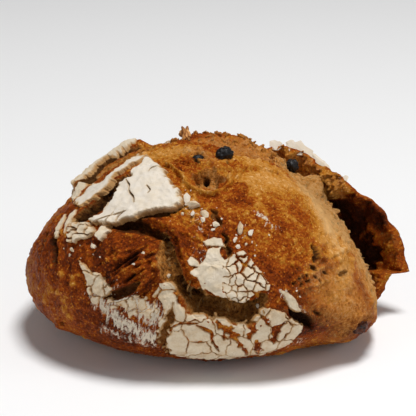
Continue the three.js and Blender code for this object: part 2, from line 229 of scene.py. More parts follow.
def inside_distance(places: Array, outline: Array) -> Array:
    """Measure how far map places lie inside an outline.

    Args:
        places: Map places, two numbers each.
        outline: The outline's corners in order.

    Returns:
        The distance to the outline, above 0 inside, where a line to the right crosses it an odd number
        of times.
    """
    start, end = outline, np.roll(outline, -1, axis=0)
    run = end - start
    offset = places[:, None] - start
    share = np.clip(np.sum(offset * run, axis=2) / np.sum(run**2, axis=1), 0.0, 1.0)
    gap = np.linalg.norm(offset - share[..., None] * run, axis=2).min(axis=1)
    spans = (start[:, 1] > places[:, 1:]) != (end[:, 1] > places[:, 1:])
    slope = run[:, 0] / np.where(run[:, 1] == 0, TINY, run[:, 1])
    crossed = spans & (offset[..., 0] < offset[..., 1] * slope)
    return np.where(crossed.sum(axis=1) % 2 == 1, gap, -gap)


@dataclass(frozen=True)
class Swelling:
    """A bulge or hollow of the loaf's outline, at a clock angle in degrees as the camera sees it."""

    clock: float
    height: float
    spread: float


@dataclass(frozen=True)
class LoafForm:
    """The loaf's plain form: a radius from the heart for every direction."""

    left: float = 104.0
    right: float = 90.0
    front: float = 89.0
    back: float = 86.0
    crown: float = 71.0
    keel: float = 50.0
    plan_power: float = 2.35
    crown_power: float = 2.05
    keel_power: float = 2.2
    outline_band: float = 0.55
    base_rounding: float = 3.0
    base_cut: float = 0.6
    base_fade: Span = (0.7, 0.95)
    sight_tilt: float = 20.0
    swellings: tuple[Swelling, ...] = (
        Swelling(338, 21, 16),
        Swelling(186, 10, 26),
        Swelling(156, -8, 20),
        Swelling(38, -9, 26),
        Swelling(226, -5, 22),
        Swelling(268, -9, 26),
    )

    def clock(self, directions: Array) -> tuple[Array, Array]:
        """Work out the angles at which the camera sees directions.

        Args:
            directions: Unit vectors from the heart.

        Returns:
            The clock angles and the angles behind the outline, in degrees.
        """
        tilt = np.radians(self.sight_tilt)
        across = directions[..., 0]
        upward = directions[..., 1] * np.sin(tilt) + directions[..., 2] * np.cos(tilt)
        away = directions[..., 1] * np.cos(tilt) - directions[..., 2] * np.sin(tilt)
        return np.degrees(np.arctan2(upward, across)), np.degrees(np.arcsin(np.clip(away, -1.0, 1.0)))

    def clock_direction(self, clock: Array, behind: Array) -> Array:
        """Turn the camera's angles back into directions.

        Args:
            clock: Clock angles in degrees.
            behind: Angles behind the outline in degrees.

        Returns:
            Unit vectors from the heart.
        """
        tilt, clock, behind = np.radians(self.sight_tilt), np.radians(clock), np.radians(behind)
        upward, away = np.cos(behind) * np.sin(clock), np.sin(behind)
        return np.stack(
            [
                np.cos(behind) * np.cos(clock),
                upward * np.sin(tilt) + away * np.cos(tilt),
                upward * np.cos(tilt) - away * np.sin(tilt),
            ],
            axis=-1,
        )

    def radius(self, directions: Array) -> Array:
        """Work out the radius: a super-ellipsoid with other half-lengths on each side, plus swellings.

        Args:
            directions: Unit vectors from the heart.

        Returns:
            The radius in millimetres along each.
        """
        x, y, z = np.moveaxis(directions, -1, 0)
        x = np.abs(x) / np.where(x < 0, self.left, self.right)
        y = np.abs(y) / np.where(y < 0, self.front, self.back)
        under = z < 0
        power = np.where(under, self.keel_power, self.crown_power)
        height = np.abs(z) / np.where(under, self.keel, self.crown)
        plan = (x**self.plan_power + y**self.plan_power) ** (1.0 / self.plan_power)
        radius = (plan**power + height**power) ** (-1.0 / power)
        clock, behind = self.clock(directions)
        band = np.exp(-((np.sin(np.radians(behind)) / self.outline_band) ** 2))
        band = band * (1.0 - smooth_step(-z, *self.base_fade))
        for swelling in self.swellings:
            turn = (clock - swelling.clock + 180.0) % 360.0 - 180.0
            radius = radius + swelling.height * np.exp(-((turn / swelling.spread) ** 2)) * band
        return radius

    def points(self, directions: Array, lift: Array | float) -> Array:
        """Place points at the radius plus a lift, and flatten softly whatever would pass under the base.

        Args:
            directions: Unit vectors from the heart.
            lift: Height over the form.

        Returns:
            The points in millimetres.
        """
        points = HEART + directions * (self.radius(directions) + lift)[..., None]
        height = points[..., 2]
        soft = (height + np.hypot(height, self.base_rounding)) / 2.0
        points[..., 2] = np.maximum(0.0, soft - self.base_cut)
        return points


@dataclass(frozen=True)
class Sighting:
    """A camera on one side of the loaf, and the flat map of the crust that it looks at."""

    form: LoafForm
    azimuth: float = 0.0
    tilt: float = 20.0
    distance: float = 900.0
    focal_px: float = 1500.0
    aim: Triple = (-2.0, 0.0, 75.0)
    search: float = 170.0
    search_steps: int = 500

    def axes(self) -> tuple[Array, Array, Array]:
        """Work out the camera's axes.

        Returns:
            Three unit vectors: across the picture, up it and into it.
        """
        turn, tilt = np.radians(self.azimuth), np.radians(self.tilt)
        into = np.array([-np.sin(turn) * np.cos(tilt), np.cos(turn) * np.cos(tilt), -np.sin(tilt)])
        across = np.array([np.cos(turn), np.sin(turn), 0.0])
        return across, np.cross(across, into), into

    def eye(self) -> Array:
        """Give the camera's place."""
        return np.array(self.aim) - self.distance * self.axes()[2]

    def project(self, points: Array) -> Array:
        """Find the pixels at which points show.

        Args:
            points: Places in millimetres.

        Returns:
            A column and a row for each.
        """
        across, upward, into = self.axes()
        offset = points - self.eye()
        depth = offset @ into
        column = FRAME_PX / 2 + self.focal_px * (offset @ across) / depth
        return np.stack([column, FRAME_PX / 2 - self.focal_px * (offset @ upward) / depth], axis=-1)

    def land(self, pixels: Sequence[Sequence[float]], lift: Array | float = 0.0) -> Array:
        """Follow sight lines to the plain form.

        Args:
            pixels: Places in the picture.
            lift: How far above the form each line is stopped.

        Returns:
            Directions from the heart to where each line first meets the form, or passes nearest to it.
        """
        across, upward, into = self.axes()
        place = (np.array(pixels, dtype=float) - FRAME_PX / 2) / self.focal_px
        ray = unit(into + place[:, :1] * across - place[:, 1:] * upward)
        way = np.linspace(self.distance - self.search, self.distance + self.search, self.search_steps)
        offset = self.eye() + ray[:, None] * way[:, None] - HEART
        reach = np.linalg.norm(offset, axis=2)
        above = reach - self.form.radius(offset / reach[..., None]) - np.reshape(lift, (-1, 1))
        met = above < 0.0
        first = np.where(met.any(axis=1), met.argmax(axis=1), above.argmin(axis=1))
        return unit(offset[np.arange(len(ray)), first])

    def spread(self, directions: Array) -> Array:
        """Lay directions out flat: the angle from the line of sight becomes a distance on the map.

        Args:
            directions: Unit vectors from the heart.

        Returns:
            Map places, two numbers each.
        """
        across, upward, into = self.axes()
        flat = np.stack([directions @ across, directions @ upward], axis=-1)
        off = np.arccos(np.clip(-(directions @ into), -1.0, 1.0))
        size = np.maximum(np.linalg.norm(flat, axis=-1), TINY)
        return flat * (MAP_RADIUS * off / size)[..., None]

    def gather(self, places: Array) -> Array:
        """Fold map places back round the loaf.

        Args:
            places: Map places, two numbers each.

        Returns:
            Unit vectors from the heart.
        """
        across, upward, into = self.axes()
        size = np.maximum(np.linalg.norm(places, axis=-1), TINY)
        off = size / MAP_RADIUS
        side = places / size[..., None] * np.sin(off)[..., None]
        return side[..., :1] * across + side[..., 1:] * upward - np.cos(off)[..., None] * into

    def chart(self, pixels: Sequence[Sequence[float]]) -> Array:
        """Give the map places of pixels."""
        return self.spread(self.land(pixels))


@dataclass(frozen=True)
class RimSighting(Sighting):
    """The front's flat map, with places given by clock angle and angle behind the outline, in degrees."""

    def land(self, pixels: Sequence[Sequence[float]], lift: Array | float = 0.0) -> Array:
        """Turn the two angles into directions, whatever the lift."""
        return self.form.clock_direction(*np.array(pixels, dtype=float).T)


FORM = LoafForm()


class Side(Enum):
    """How places on the loaf are given: in the front's picture, the back's, or as angles round the rim."""

    FRONT = Sighting(FORM)
    BACK = Sighting(FORM, 180.0)
    RIM = RimSighting(FORM)


class Profile(Enum):
    """The cross-section of a stroke: a soft bell, or a burst with steep walls and a rough floor."""

    BELL = "bell"
    BURST = "burst"


@dataclass(frozen=True)
class Stroke:
    """A line or spot along the crust that is raised, cut or coloured."""

    name: str
    path: Pixels
    half_width: float
    lift: float = 0.0
    profile: Profile = Profile.BELL
    bake: float = 0.0
    crumb: float = 0.0
    dust: float = 0.0
    # The last paint is painted shade, darkening the stroke as if it lay in shadow.
    char: float = 0.0
    side: Side = Side.FRONT


@dataclass(frozen=True)
class Stretch:
    """A part of the crust that rising dough drew out into long wrinkles, all at one angle on the map."""

    middle: Span
    radius: float
    angle: float
    pitch: float
    lift: float
    side: Side = Side.FRONT


@dataclass
class CrustSample:
    """The crust at a set of directions: its lift over the plain form and its four paints, the last of them
    painted shade.
    """

    lift: Array
    bake: Array
    crumb: Array
    dust: Array
    char: Array

    def paints(self) -> dict[str, Array]:
        """Give the paints by name, for the mesh."""
        return {"bake": self.bake, "crumb": self.crumb, "dust": self.dust, "char": self.char}


BURST = Profile.BURST
BACK = Side.BACK
RIM = Side.RIM

# Cracks and gaps. Their last paint darkens floors and walls as painted shade, and as painted shadow under the
# plates and strips that overhang them.
BURSTS: tuple[Stroke, ...] = (
    Stroke(
        "gap behind the strip", ((118, -5), (130, -4), (138, -3), (146, -2), (153, 0)), 10, -6, BURST,
        bake=0.12, crumb=0.9, char=0.1, side=RIM,
    ),
    Stroke(
        "foot of the back strip", ((121, 8), (132, 9.5), (140, 9), (153, 6)), 4, -2, BURST, bake=0.2,
        crumb=0.6, char=0.85, side=RIM,
    ),
    Stroke("edge before the raisin", ((41, 3), (47, 4), (54, 2)), 6, -4, BURST, crumb=0.9, side=RIM),
    Stroke(
        "gap below the strip",
        ((131, 174), (120, 183), (111, 190), (104, 198), (96, 206), (88, 213), (78, 221)), 8.0, -8, BURST,
        bake=0.3, crumb=0.8, char=0.9,
    ),
    Stroke(
        "gap under the top plate", ((108, 227), (125, 223), (145, 217), (165, 212), (184, 205)), 2.6, -4,
        BURST, crumb=0.3, char=0.8,
    ),
    Stroke(
        "over the knuckle", ((111, 226), (125, 224), (140, 227), (166, 238)), 4.8, -7, BURST, bake=0.25,
        crumb=0.2, char=0.5,
    ),
    Stroke(
        "under the knuckle", ((104, 296), (118, 293), (130, 289), (142, 281)), 2.4, -4, BURST, crumb=0.2,
        char=0.8,
    ),
    Stroke(
        "crevice beside the arch", ((166, 236), (168, 250), (171, 264), (177, 277), (185, 290), (196, 300)),
        4.8, -8, BURST, bake=0.12, crumb=1, char=0.05,
    ),
    Stroke(
        "crevice under the patch",
        ((180, 280), (187, 290), (198, 301), (214, 307), (230, 309), (243, 312), (254, 306), (263, 296)),
        7, -11, BURST, bake=0.22, crumb=1, char=0.38,
    ),
    Stroke(
        "notch above", ((212, 211), (215, 213), (214, 217), (219, 220), (221, 226)), 1.5, -3, BURST,
        bake=0.3, crumb=0.5, char=0.35,
    ),
    Stroke(
        "notch beside", ((222, 233), (227, 238), (225, 245), (229, 250), (228, 258)), 1.6, -3, BURST,
        bake=0.3, crumb=0.5, char=0.45,
    ),
    Stroke(
        "left cheek", ((61, 231), (55, 242), (56, 252), (54, 267)), 2.2, -5.5, BURST, bake=0.2, crumb=0.2,
        char=0.9,
    ),
    Stroke(
        "left wedge", ((60, 234), (52, 243), (57, 250)), 1.8, -4.5, BURST, bake=0.2, crumb=0.2, char=0.8,
    ),
    Stroke("left nick", ((49, 232), (46, 240), (43, 247)), 1.7, -4, BURST, bake=0.2, crumb=0.3, char=0.9),
    Stroke("limb crack", ((80, 196), (72, 201), (66, 208)), 1.8, -3, BURST, bake=0.2, crumb=0.3, char=0.8),
    Stroke(
        "hole by the right heel", ((290, 309), (297, 315), (303, 319), (311, 326)), 2.8, -6, BURST, char=1,
    ),
    Stroke(
        "front crack", ((173, 302), (170, 318), (163, 336), (170, 353)), 3, -3, BURST, crumb=0.4, char=0.5,
    ),
    Stroke("slit", ((311, 244), (313.5, 252), (312, 261)), 1.4, -3.4, BURST, char=0.9),
    Stroke("beside the flap", ((340, 244), (346, 258), (346, 270)), 1.2, -1.4, BURST, crumb=0.4, char=0.2),
    Stroke("under the flap", ((345, 271), (338, 274)), 1.6, -2.2, BURST, char=0.4),
    Stroke(
        "bowl in the crown", ((196, 177), (207, 179), (220, 179)), 10, -6.5, BURST, bake=0.14, crumb=0.9,
    ),
    Stroke("core of the bowl", ((206, 174),), 3.0, -3, BURST, char=0.95),
    Stroke(
        "crack by the hollow", ((195, 153), (198, 158), (196, 163)), 1.5, -3, BURST, bake=0.2, crumb=0.3,
        char=0.7,
    ),
    Stroke(
        "back split", ((300, 214), (272, 233), (246, 253), (214, 260), (184, 270), (160, 288)), 4.2, -6,
        BURST, bake=0.15, crumb=0.8, char=0.35, side=BACK,
    ),
    Stroke(
        "back branch", ((205, 258), (190, 240), (168, 234)), 2.6, -4, BURST, bake=0.2, crumb=0.5, char=0.6,
        side=BACK,
    ),
)

# Pores, each darkened inside as painted shade.
PORES: tuple[Stroke, ...] = tuple(
    Stroke("pore", ends, size, -1.7 * size, BURST, crumb=0.3, char=0.85)
    for ends, size in (
        (((309, 265), (313, 269)), 1.1), (((321, 270), (326, 273)), 0.9), (((304, 281), (309, 279)), 0.8),
        (((298, 285), (301, 282)), 0.8), (((291, 283), (295, 280)), 0.7), (((304, 273), (306, 276)), 0.7),
        (((317, 278), (318, 281)), 0.7), (((311, 274), (315, 277)), 0.6), (((297, 278), (300, 276)), 0.6),
        (((313, 310), (320, 314)), 0.9), (((62, 321), (64, 323)), 1.6), (((194, 162), (200, 165)), 1.6),
        (((226, 160), (229, 163)), 1.2),
    )
)

KNOBS: tuple[Stroke, ...] = tuple(
    Stroke("knob", (place,), size, 0.9 * size, bake=bake)
    for place, size, bake in (
        ((181, 154), 2.2, -0.05), ((187, 149), 2.0, -0.15), ((193, 147), 1.8, 0.1), ((201, 149), 2.2, -0.1),
        ((186, 162), 2.4, 0.05), ((204, 157), 2.0, -0.12), ((190, 169), 1.8, 0.1), ((179, 164), 1.6, 0.1),
        ((214, 147), 1.8, -0.1), ((236, 161), 1.9, 0.12), ((247, 156), 2.2, 0.1), ((258, 161), 1.7, -0.1),
        ((243, 187), 3.4, 0.1), ((345, 247), 2.4, -0.1), ((351, 258), 2.0, -0.1), ((347, 284), 2.4, -0.1),
        ((369, 300), 3.0, -0.05),
    )
)

FOLDS: tuple[Stroke, ...] = KNOBS + (
    Stroke(
        "back strip", ((121, 12), (127, 13), (134, 13), (141, 13), (147, 12), (151, 10)), 5, 7, side=RIM,
    ),
    Stroke("crumb below the ridge", ((27, 14), (33, 14), (38, 13)), 8, 8, side=RIM),
    Stroke("mound over the hollow", ((192, 162), (199, 163)), 5, 3.4, bake=-0.08),
    Stroke("knuckle", ((121, 245), (135, 255), (148, 261)), 13, 5),
    # The arch's ridge is painted paler as a painted highlight along its lit edge.
    Stroke(
        "arch",
        ((140, 220), (152, 219), (166, 223), (176, 230), (181, 239), (184, 249), (188, 262), (194, 274)),
        1.8, 3.6, bake=-0.1,
    ),
    Stroke("fold under the arch", ((140, 229), (152, 231), (163, 236)), 2.2, 2.4),
    # The bowl's rim is painted paler as a painted highlight.
    Stroke(
        "rim of the bowl",
        (
            (166, 163), (174, 168), (182, 175), (189, 185), (198, 191), (210, 194), (221, 191), (228, 185),
            (229, 176),
        ),
        1.35, 3.3, bake=-0.17,
    ),
    Stroke("ridge from the bowl", ((230, 184), (236, 178), (243, 170)), 1.3, 1.8, bake=-0.1),
    Stroke(
        "rim of the crown tear", ((200, 153), (211, 163), (222, 169), (236, 170), (256, 168), (275, 172)),
        1.9, 2.6,
    ),
    Stroke("behind the crown tear", ((98, 9), (82, 11), (68, 12), (54, 12)), 6.5, 4.5, side=RIM),
    Stroke("slit's lip", ((315, 246), (317, 252), (315, 260)), 1.3, 1.2, bake=-0.12),
    Stroke("strand", ((296, 288), (306, 284), (316, 283), (327, 279)), 0.9, 1.0, bake=-0.15),
    Stroke("strand", ((290, 280), (301, 272), (310, 272), (319, 266)), 0.9, 1.0, bake=-0.15),
    Stroke(
        "collar of the heel raisin", ((350, 326), (353, 318), (360, 313), (368, 316)), 2.2, 2.2, bake=0.05,
    ),
    Stroke("knob on the right heel", ((336, 338), (352, 340)), 4, 2.5),
    Stroke("back fold", ((288, 203), (255, 228), (222, 240), (180, 250)), 6, 2.5, side=BACK),
    Stroke("knob on the left heel", ((63, 325),), 4, 3.5),
    Stroke("flap", ((319, 258), (330, 263), (341, 256)), 4.2, 2.2, bake=0.08),
    # The flap's edge and point are painted paler as a painted highlight.
    Stroke("flap's edge", ((314, 255), (322, 256), (331, 254), (339, 248)), 1.2, 2.0, bake=-0.1),
    Stroke("flap's point", ((339, 250),), 2.0, 1.6, bake=-0.1),
)

BLISTERS: tuple[Stroke, ...] = tuple(
    Stroke("pale blister", (place,), size, lift, bake=bake)
    for place, size, lift, bake in (
        ((62, 273), 1.7, 0.6, -0.35), ((57, 292), 1.8, 0.6, -0.35), ((63, 300), 2.0, 0.7, -0.35),
        ((63, 309), 1.8, 0.6, -0.35), ((69, 315), 1.6, 0.6, -0.3), ((72, 277), 1.7, 0.6, -0.3),
        ((74, 283), 1.5, 0.5, -0.3),
    )
)

TINTS: tuple[Stroke, ...] = BLISTERS + (
    Stroke("dark left side", ((38, 262), (45, 290)), 26, bake=0.1),
    Stroke("dark left foot", ((70, 290), (85, 320)), 22, bake=0.1),
    Stroke("dark front foot", ((110, 335), (200, 348), (280, 342)), 14, bake=0.12),
    Stroke("red knuckle", ((122, 250), (150, 262)), 17, bake=0.14),
    Stroke("red arch", ((150, 220), (170, 226), (182, 245)), 5, bake=0.2),
    Stroke("red cheek", ((100, 250), (80, 258)), 10, bake=0.08),
    # The crown's left is painted paler as a painted sheen.
    Stroke("pale crown", ((155, 152), (185, 148)), 15, bake=-0.22),
    Stroke("pale crown", ((205, 158), (225, 175)), 8, bake=-0.1),
    Stroke("red patch", ((232, 186), (243, 198)), 6, bake=0.2),
    Stroke("red patch", ((182, 160), (180, 172)), 5, bake=0.14),
    # The tear over the crown is painted paler as a painted highlight, where light falls from above.
    Stroke("painted highlight on the tear", ((232, 157), (255, 163), (280, 170)), 9, bake=-0.2),
    Stroke("torn mound", ((186, 150), (197, 151), (207, 158)), 7, bake=0.12, crumb=0.55),
    Stroke("pale slope", ((186, 200), (198, 225)), 11, bake=-0.13),
    # The dome's upper shoulder is painted paler as a painted highlight, where light falls from above.
    Stroke("painted highlight on the shoulder", ((255, 178), (290, 184)), 13, bake=-0.3),
    Stroke("pale flank", ((315, 205), (338, 245)), 10, bake=-0.14),
    Stroke("golden dome", ((255, 205), (300, 240)), 30, bake=-0.06),
    Stroke("dark foot of the dome", ((268, 258), (300, 284)), 14, bake=0.07),
    Stroke("golden foot", ((60, 310), (75, 325)), 12, bake=-0.08),
    Stroke("tan right heel", ((338, 292), (350, 312)), 20, bake=-0.05, crumb=0.5),
    Stroke("dark heel", ((310, 322), (335, 328), (362, 330)), 10, bake=0.26),
    Stroke("pale edge of the crumb", ((298, 178), (320, 205), (335, 232), (342, 262)), 9, bake=-0.2),
    Stroke("smudge on the dome", ((257, 213), (266, 218)), 2.2, dust=0.75),
    Stroke("smear below the smudge", ((267, 225), (281, 229)), 3, dust=0.5),
    Stroke("streak beside the heel hole", ((281, 290), (292, 302), (301, 310)), 3.4, dust=0.6),
    Stroke("dry-brushed band", ((94, 288), (106, 306), (125, 322), (152, 336)), 9, dust=0.66),
    Stroke("dry-brushed shoulder", ((118, 300), (138, 304), (154, 314)), 9, dust=0.74),
    Stroke("band foot", ((110, 330), (150, 342), (200, 350), (260, 350), (300, 340)), 7, dust=0.5),
    Stroke("dusted slope", ((188, 203), (196, 215), (202, 230)), 7, dust=0.42),
    Stroke("under the patch", ((204, 250), (230, 285), (262, 285)), 14, dust=0.4),
    Stroke("back brush", ((205, 328), (165, 318), (132, 302)), 15, dust=0.58, side=BACK),
    Stroke("back brush above", ((350, 226), (300, 262), (220, 292)), 16, dust=0.4, side=BACK),
)


@dataclass(frozen=True)
class LoafSurface:
    """The crust over the plain form: swells, bursts, folds and the tear along the right side."""

    form: LoafForm = FORM
    strokes: tuple[Stroke, ...] = BURSTS + PORES + FOLDS + TINTS
    stroke_reach: float = 2.7
    stroke_ragged: Span = (0.3, 0.2)
    burst_wall: Span = (0.5, 1.0)
    burst_paint: Span = (0.75, 1.08)
    burst_taper: Span = (0.0, 0.2)
    burst_end: float = 0.4
    burst_edge: Triple = (1.15, 0.22, 0.1)
    burst_lumps: float = 0.25
    tear_depth: float = 10.0
    tear_front: Span = (5.0, 16.0)
    tear_back: Span = (26.0, 38.0)
    tear_top: Span = (24.0, 38.0)
    tear_foot: Span = (-20.0, -5.0)
    bare_clock: tuple[float, ...] = (-26, -15, 20, 40, 50, 60, 68, 76, 84, 90, 97, 103)
    bare_front: tuple[float, ...] = (10, -30, -42, -36, -22, -20, -23, -26, -25, -15, -8, -2)
    bare_back: tuple[float, ...] = (10, 40, 40, 38, 30, 20, 14, 10, 8, 6, 2, -2)
    crown_depth: float = 7.0
    crown_clock: Span = (46.0, 62.0)
    browned_clock: Span = (30.0, 46.0)
    # Where the crust inside the tear is darkened as painted shade, in degrees behind the outline.
    shade_front: Span = (8.0, 15.0)
    shade_back: Span = (30.0, 40.0)
    broad: Noise = Noise(38, 38, 3)
    middle: Noise = Noise(11, 11, 3)
    fine: Noise = Noise(4, 4, 3)
    broad_lift: float = 1.5
    middle_lift: float = 0.5
    plain_bake: float = 0.55
    uneven_bake: float = 0.1
    bends: tuple[Noise, ...] = tuple(Noise(9.0, k, strength=3.0) for k in (21, 22, 23))
    crumb_lump: Noise = Noise(6.0, 1, 3)
    crumb_shred: Noise = Noise(2.2, 29, strength=0.5)
    crumb_pit: Noise = Noise(2.8, 24)
    pitted_patch: Noise = Noise(13.0, 27, strength=0.4)
    pit_level: float = 0.42
    blister: Noise = Noise(2.6, 2)
    blister_level: float = 0.4
    vein: Noise = Noise(10.0, 3, 3)
    skin_grain: Noise = Noise(2.0, 25, 2, 0.55)
    blister_lift: float = 1.1
    vein_lift: float = 0.55
    fine_lift: float = 0.4
    crumb_lift: float = 1.35
    pit_depth: float = 1.6
    wrinkle_draw: float = 6.0
    stretches: tuple[Stretch, ...] = (
        Stretch((138, 268), 16, 38, 2.0, 1.7),
        Stretch((145, 262), 13, 24, 2.9, 1.0),
        Stretch((150, 225), 12, -25, 2.4, 0.8),
        Stretch((190, 222), 16, -38, 2.2, 0.7),
        Stretch((262, 205), 34, -32, 2.2, 0.35),
        Stretch((315, 275), 22, -62, 2.2, 0.5),
        Stretch((185, 160), 20, -35, 2.4, 0.6),
        Stretch((208, 240), 45, 15, 3.0, 0.6, BACK),
    )

    def sample(self, directions: Array, bare: bool = True) -> CrustSample:
        """Work out the crust's lift and paints.

        Args:
            directions: Unit vectors from the heart.
            bare: Whether more than the swells and folds is added, as it is where no flour covers them.

        Returns:
            The sample at those directions.
        """
        ball = directions * MAP_RADIUS
        broad, middle, fine = (noise.at(ball) for noise in (self.broad, self.middle, self.fine))
        lift = self.broad_lift * broad + self.middle_lift * middle
        bake = self.plain_bake + self.uneven_bake * broad
        sample = CrustSample(lift, bake, *np.zeros((3, len(ball))))
        for side in Side:
            places = side.value.spread(directions)
            for stroke in self.strokes if bare else FOLDS:
                if stroke.side is side:
                    self.work(sample, stroke, places, middle, fine)
            for stretch in self.stretches if bare else ():
                if stretch.side is side:
                    self.draw_out(sample, stretch, places)
        if bare:
            self.tear(sample, directions, middle, fine)
            self.texture(sample, ball, fine)
        return sample

    def work(self, sample: CrustSample, stroke: Stroke, places: Array, middle: Array, fine: Array) -> None:
        """Add one stroke to a sample.

        A bell falls off as exp(-r^2), where r is the distance from the path in half-widths. A burst is
        full depth to about half its ragged half-width, rises steeply to nothing there, narrows to its
        ends and turns up a low edge just outside. Its paints reach all the way up its walls.

        Args:
            sample: The sample to change.
            stroke: What to add.
            places: Map places of the sample.
            middle: Lumps of the middle size at those places.
            fine: Lumps of the fine size at those places.
        """
        LOG.debug("crust: %s", stroke.name)
        path = smooth_path(stroke.side.value.chart(stroke.path))
        reach = self.stroke_reach * stroke.half_width
        near = np.all((places > path.min(axis=0) - reach) & (places < path.max(axis=0) + reach), axis=1)
        if not near.any():
            return
        gap, along = path_distance(places[near], path)
        wide, narrow = self.stroke_ragged
        width = stroke.half_width * (1.0 + wide * middle[near] + narrow * fine[near])
        if stroke.profile is Profile.BURST:
            ends = smooth_step(np.minimum(along, 1.0 - along), *self.burst_taper)
            off = gap / (width * (self.burst_end + (1.0 - self.burst_end) * ends))
            share = 1.0 - smooth_step(off, *self.burst_wall)
            place, spread, height = self.burst_edge
            edge = np.exp(-(((off - place) / spread) ** 2)) * height * abs(stroke.lift)
            sample.lift[near] += stroke.lift * share * (1.0 - self.burst_lumps * fine[near]) + edge
            share = 1.0 - smooth_step(off, *self.burst_paint)
        else:
            share = np.exp(-((gap / width) ** 2))
            sample.lift[near] += stroke.lift * share
        sample.bake[near] += stroke.bake * share
        for name in ("crumb", "dust", "char"):
            paint = getattr(sample, name)
            paint[near] = np.maximum(paint[near], getattr(stroke, name) * share)

    def draw_out(self, sample: CrustSample, stretch: Stretch, places: Array) -> None:
        """Add long wrinkles, sharp where drawn-out lumps change sign, fading out as a bell. Their ridges are
        painted paler as a painted highlight and their grooves darker as painted shade.

        Args:
            sample: The sample to change.
            stretch: Where and how the wrinkles lie.
            places: Map places of the sample.
        """
        gap = np.linalg.norm(places - stretch.side.value.chart([stretch.middle])[0], axis=1)
        near = gap < 2.5 * stretch.radius
        if not near.any():
            return
        turn = np.radians(stretch.angle)
        x, y = places[near].T
        along, across = x * np.cos(turn) + y * np.sin(turn), y * np.cos(turn) - x * np.sin(turn)
        drawn = np.stack([along / self.wrinkle_draw, across, 0.0 * x], axis=1)
        wrinkle = 1.0 - 2.5 * np.abs(Noise(stretch.pitch, 19, 2).at(drawn))
        share = np.exp(-((gap[near] / stretch.radius) ** 2)) * (1.0 - sample.crumb[near])
        sample.lift[near] += stretch.lift * share * wrinkle
        sample.bake[near] -= 0.08 * stretch.lift * share * wrinkle
        shaded = 0.25 * stretch.lift * share * np.maximum(-wrinkle, 0.0)
        sample.char[near] = np.maximum(sample.char[near], shaded)

    def tear(self, sample: CrustSample, directions: Array, middle: Array, fine: Array) -> None:
        """Open the tear behind the outline on the right, and bare the crumb from there up over the crown.

        The opening's depth is a product of four smooth steps: two across it, in degrees behind the
        outline, and two along it, in clock degrees. The bared crumb lies between two ragged lines that
        meet on the crown, where it is hollowed out most along its front.

        Args:
            sample: The sample to change.
            directions: Its unit vectors from the heart.
            middle: Lumps of the middle size there.
            fine: Lumps of the fine size there.
        """
        clock, behind = self.form.clock(directions)
        along = (1.0 - smooth_step(clock, *self.tear_top)) * smooth_step(clock, *self.tear_foot)
        across = smooth_step(behind, *self.tear_front) * (1.0 - smooth_step(behind, *self.tear_back))
        sample.lift -= self.tear_depth * along * across
        front, back = (np.interp(clock, self.bare_clock, line) for line in (self.bare_front, self.bare_back))
        ragged = behind + 5.0 * middle + 3.0 * fine
        crown = smooth_step(clock, *self.crown_clock)
        bare = smooth_step(ragged - front, 0.0, 22.0 - 14.0 * crown)
        bare = bare * (1.0 - smooth_step(ragged - back, -4.0, 4.0))
        share = np.clip((behind - front) / np.maximum(back - front, 1.0), 0.0, 1.0)
        hollow = self.crown_depth * crown * (1.1 - share) + 1.2 * (1.0 - crown) * (1.0 - across)
        sample.lift -= bare * hollow
        sample.crumb = np.maximum(sample.crumb, bare * (1.0 - 0.55 * crown))
        browned = smooth_step(clock + 0.4 * behind, *self.browned_clock)
        sample.bake += bare * (0.16 * browned + 0.06 * crown - 0.18)
        # The crust in the opening, under the overhanging lip, is darkened as painted shade.
        within = smooth_step(behind, *self.shade_front) * (1.0 - smooth_step(ragged, *self.shade_back))
        sample.char = np.maximum(sample.char, 0.95 * along * within)

    def texture(self, sample: CrustSample, ball: Array, fine: Array) -> None:
        """Roughen the bared crumb, and wrinkle and blister the crust between.

        Args:
            sample: The sample to change.
            ball: Its directions at the map's radius.
            fine: Lumps of the fine size there.
        """
        bent = ball + np.stack([bend.at(ball) for bend in self.bends], axis=1)
        crumbly = self.crumb_lump.at(bent) + self.crumb_shred.at(bent)
        pit = np.maximum(0.0, self.crumb_pit.at(bent) - self.pit_level + self.pitted_patch.at(ball))
        blister = np.maximum(0.0, self.blister.at(ball) - self.blister_level)
        vein = (1.0 - np.abs(self.vein.at(bent))) ** 4
        skin = self.blister_lift * blister + self.vein_lift * vein + self.fine_lift * fine
        skin = skin + self.skin_grain.at(bent)
        torn = self.crumb_lift * crumbly - self.pit_depth * pit
        sample.lift += sample.crumb * torn + (1.0 - sample.crumb) * skin
        # Pits in the bared crumb are darkened as painted shade.
        sample.char = np.maximum(sample.char, sample.crumb * np.minimum(0.4, 0.9 * pit))
        sample.bake += (1.0 - sample.crumb) * (0.06 - 0.1 * vein - 0.4 * blister)
        sample.dust *= (1.0 - sample.crumb) * (1.0 - sample.char)

    def land(self, side: Side, pixels: Sequence[Sequence[float]]) -> Array:
        """Follow sight lines to the folded crust, by stopping them at the lift found the time before.

        Args:
            side: How the places are given.
            pixels: The places.

        Returns:
            Directions from the heart.
        """
        directions = side.value.land(pixels)
        for _ in range(3):
            ball = directions * MAP_RADIUS
            even = np.zeros(len(ball))
            sample = CrustSample(self.broad_lift * self.broad.at(ball), *np.zeros((4, len(ball))))
            for stroke in FOLDS:
                if stroke.side is side:
                    self.work(sample, stroke, side.value.spread(directions), even, even)
            directions = side.value.land(pixels, sample.lift)
        return directions


SURFACE = LoafSurface()


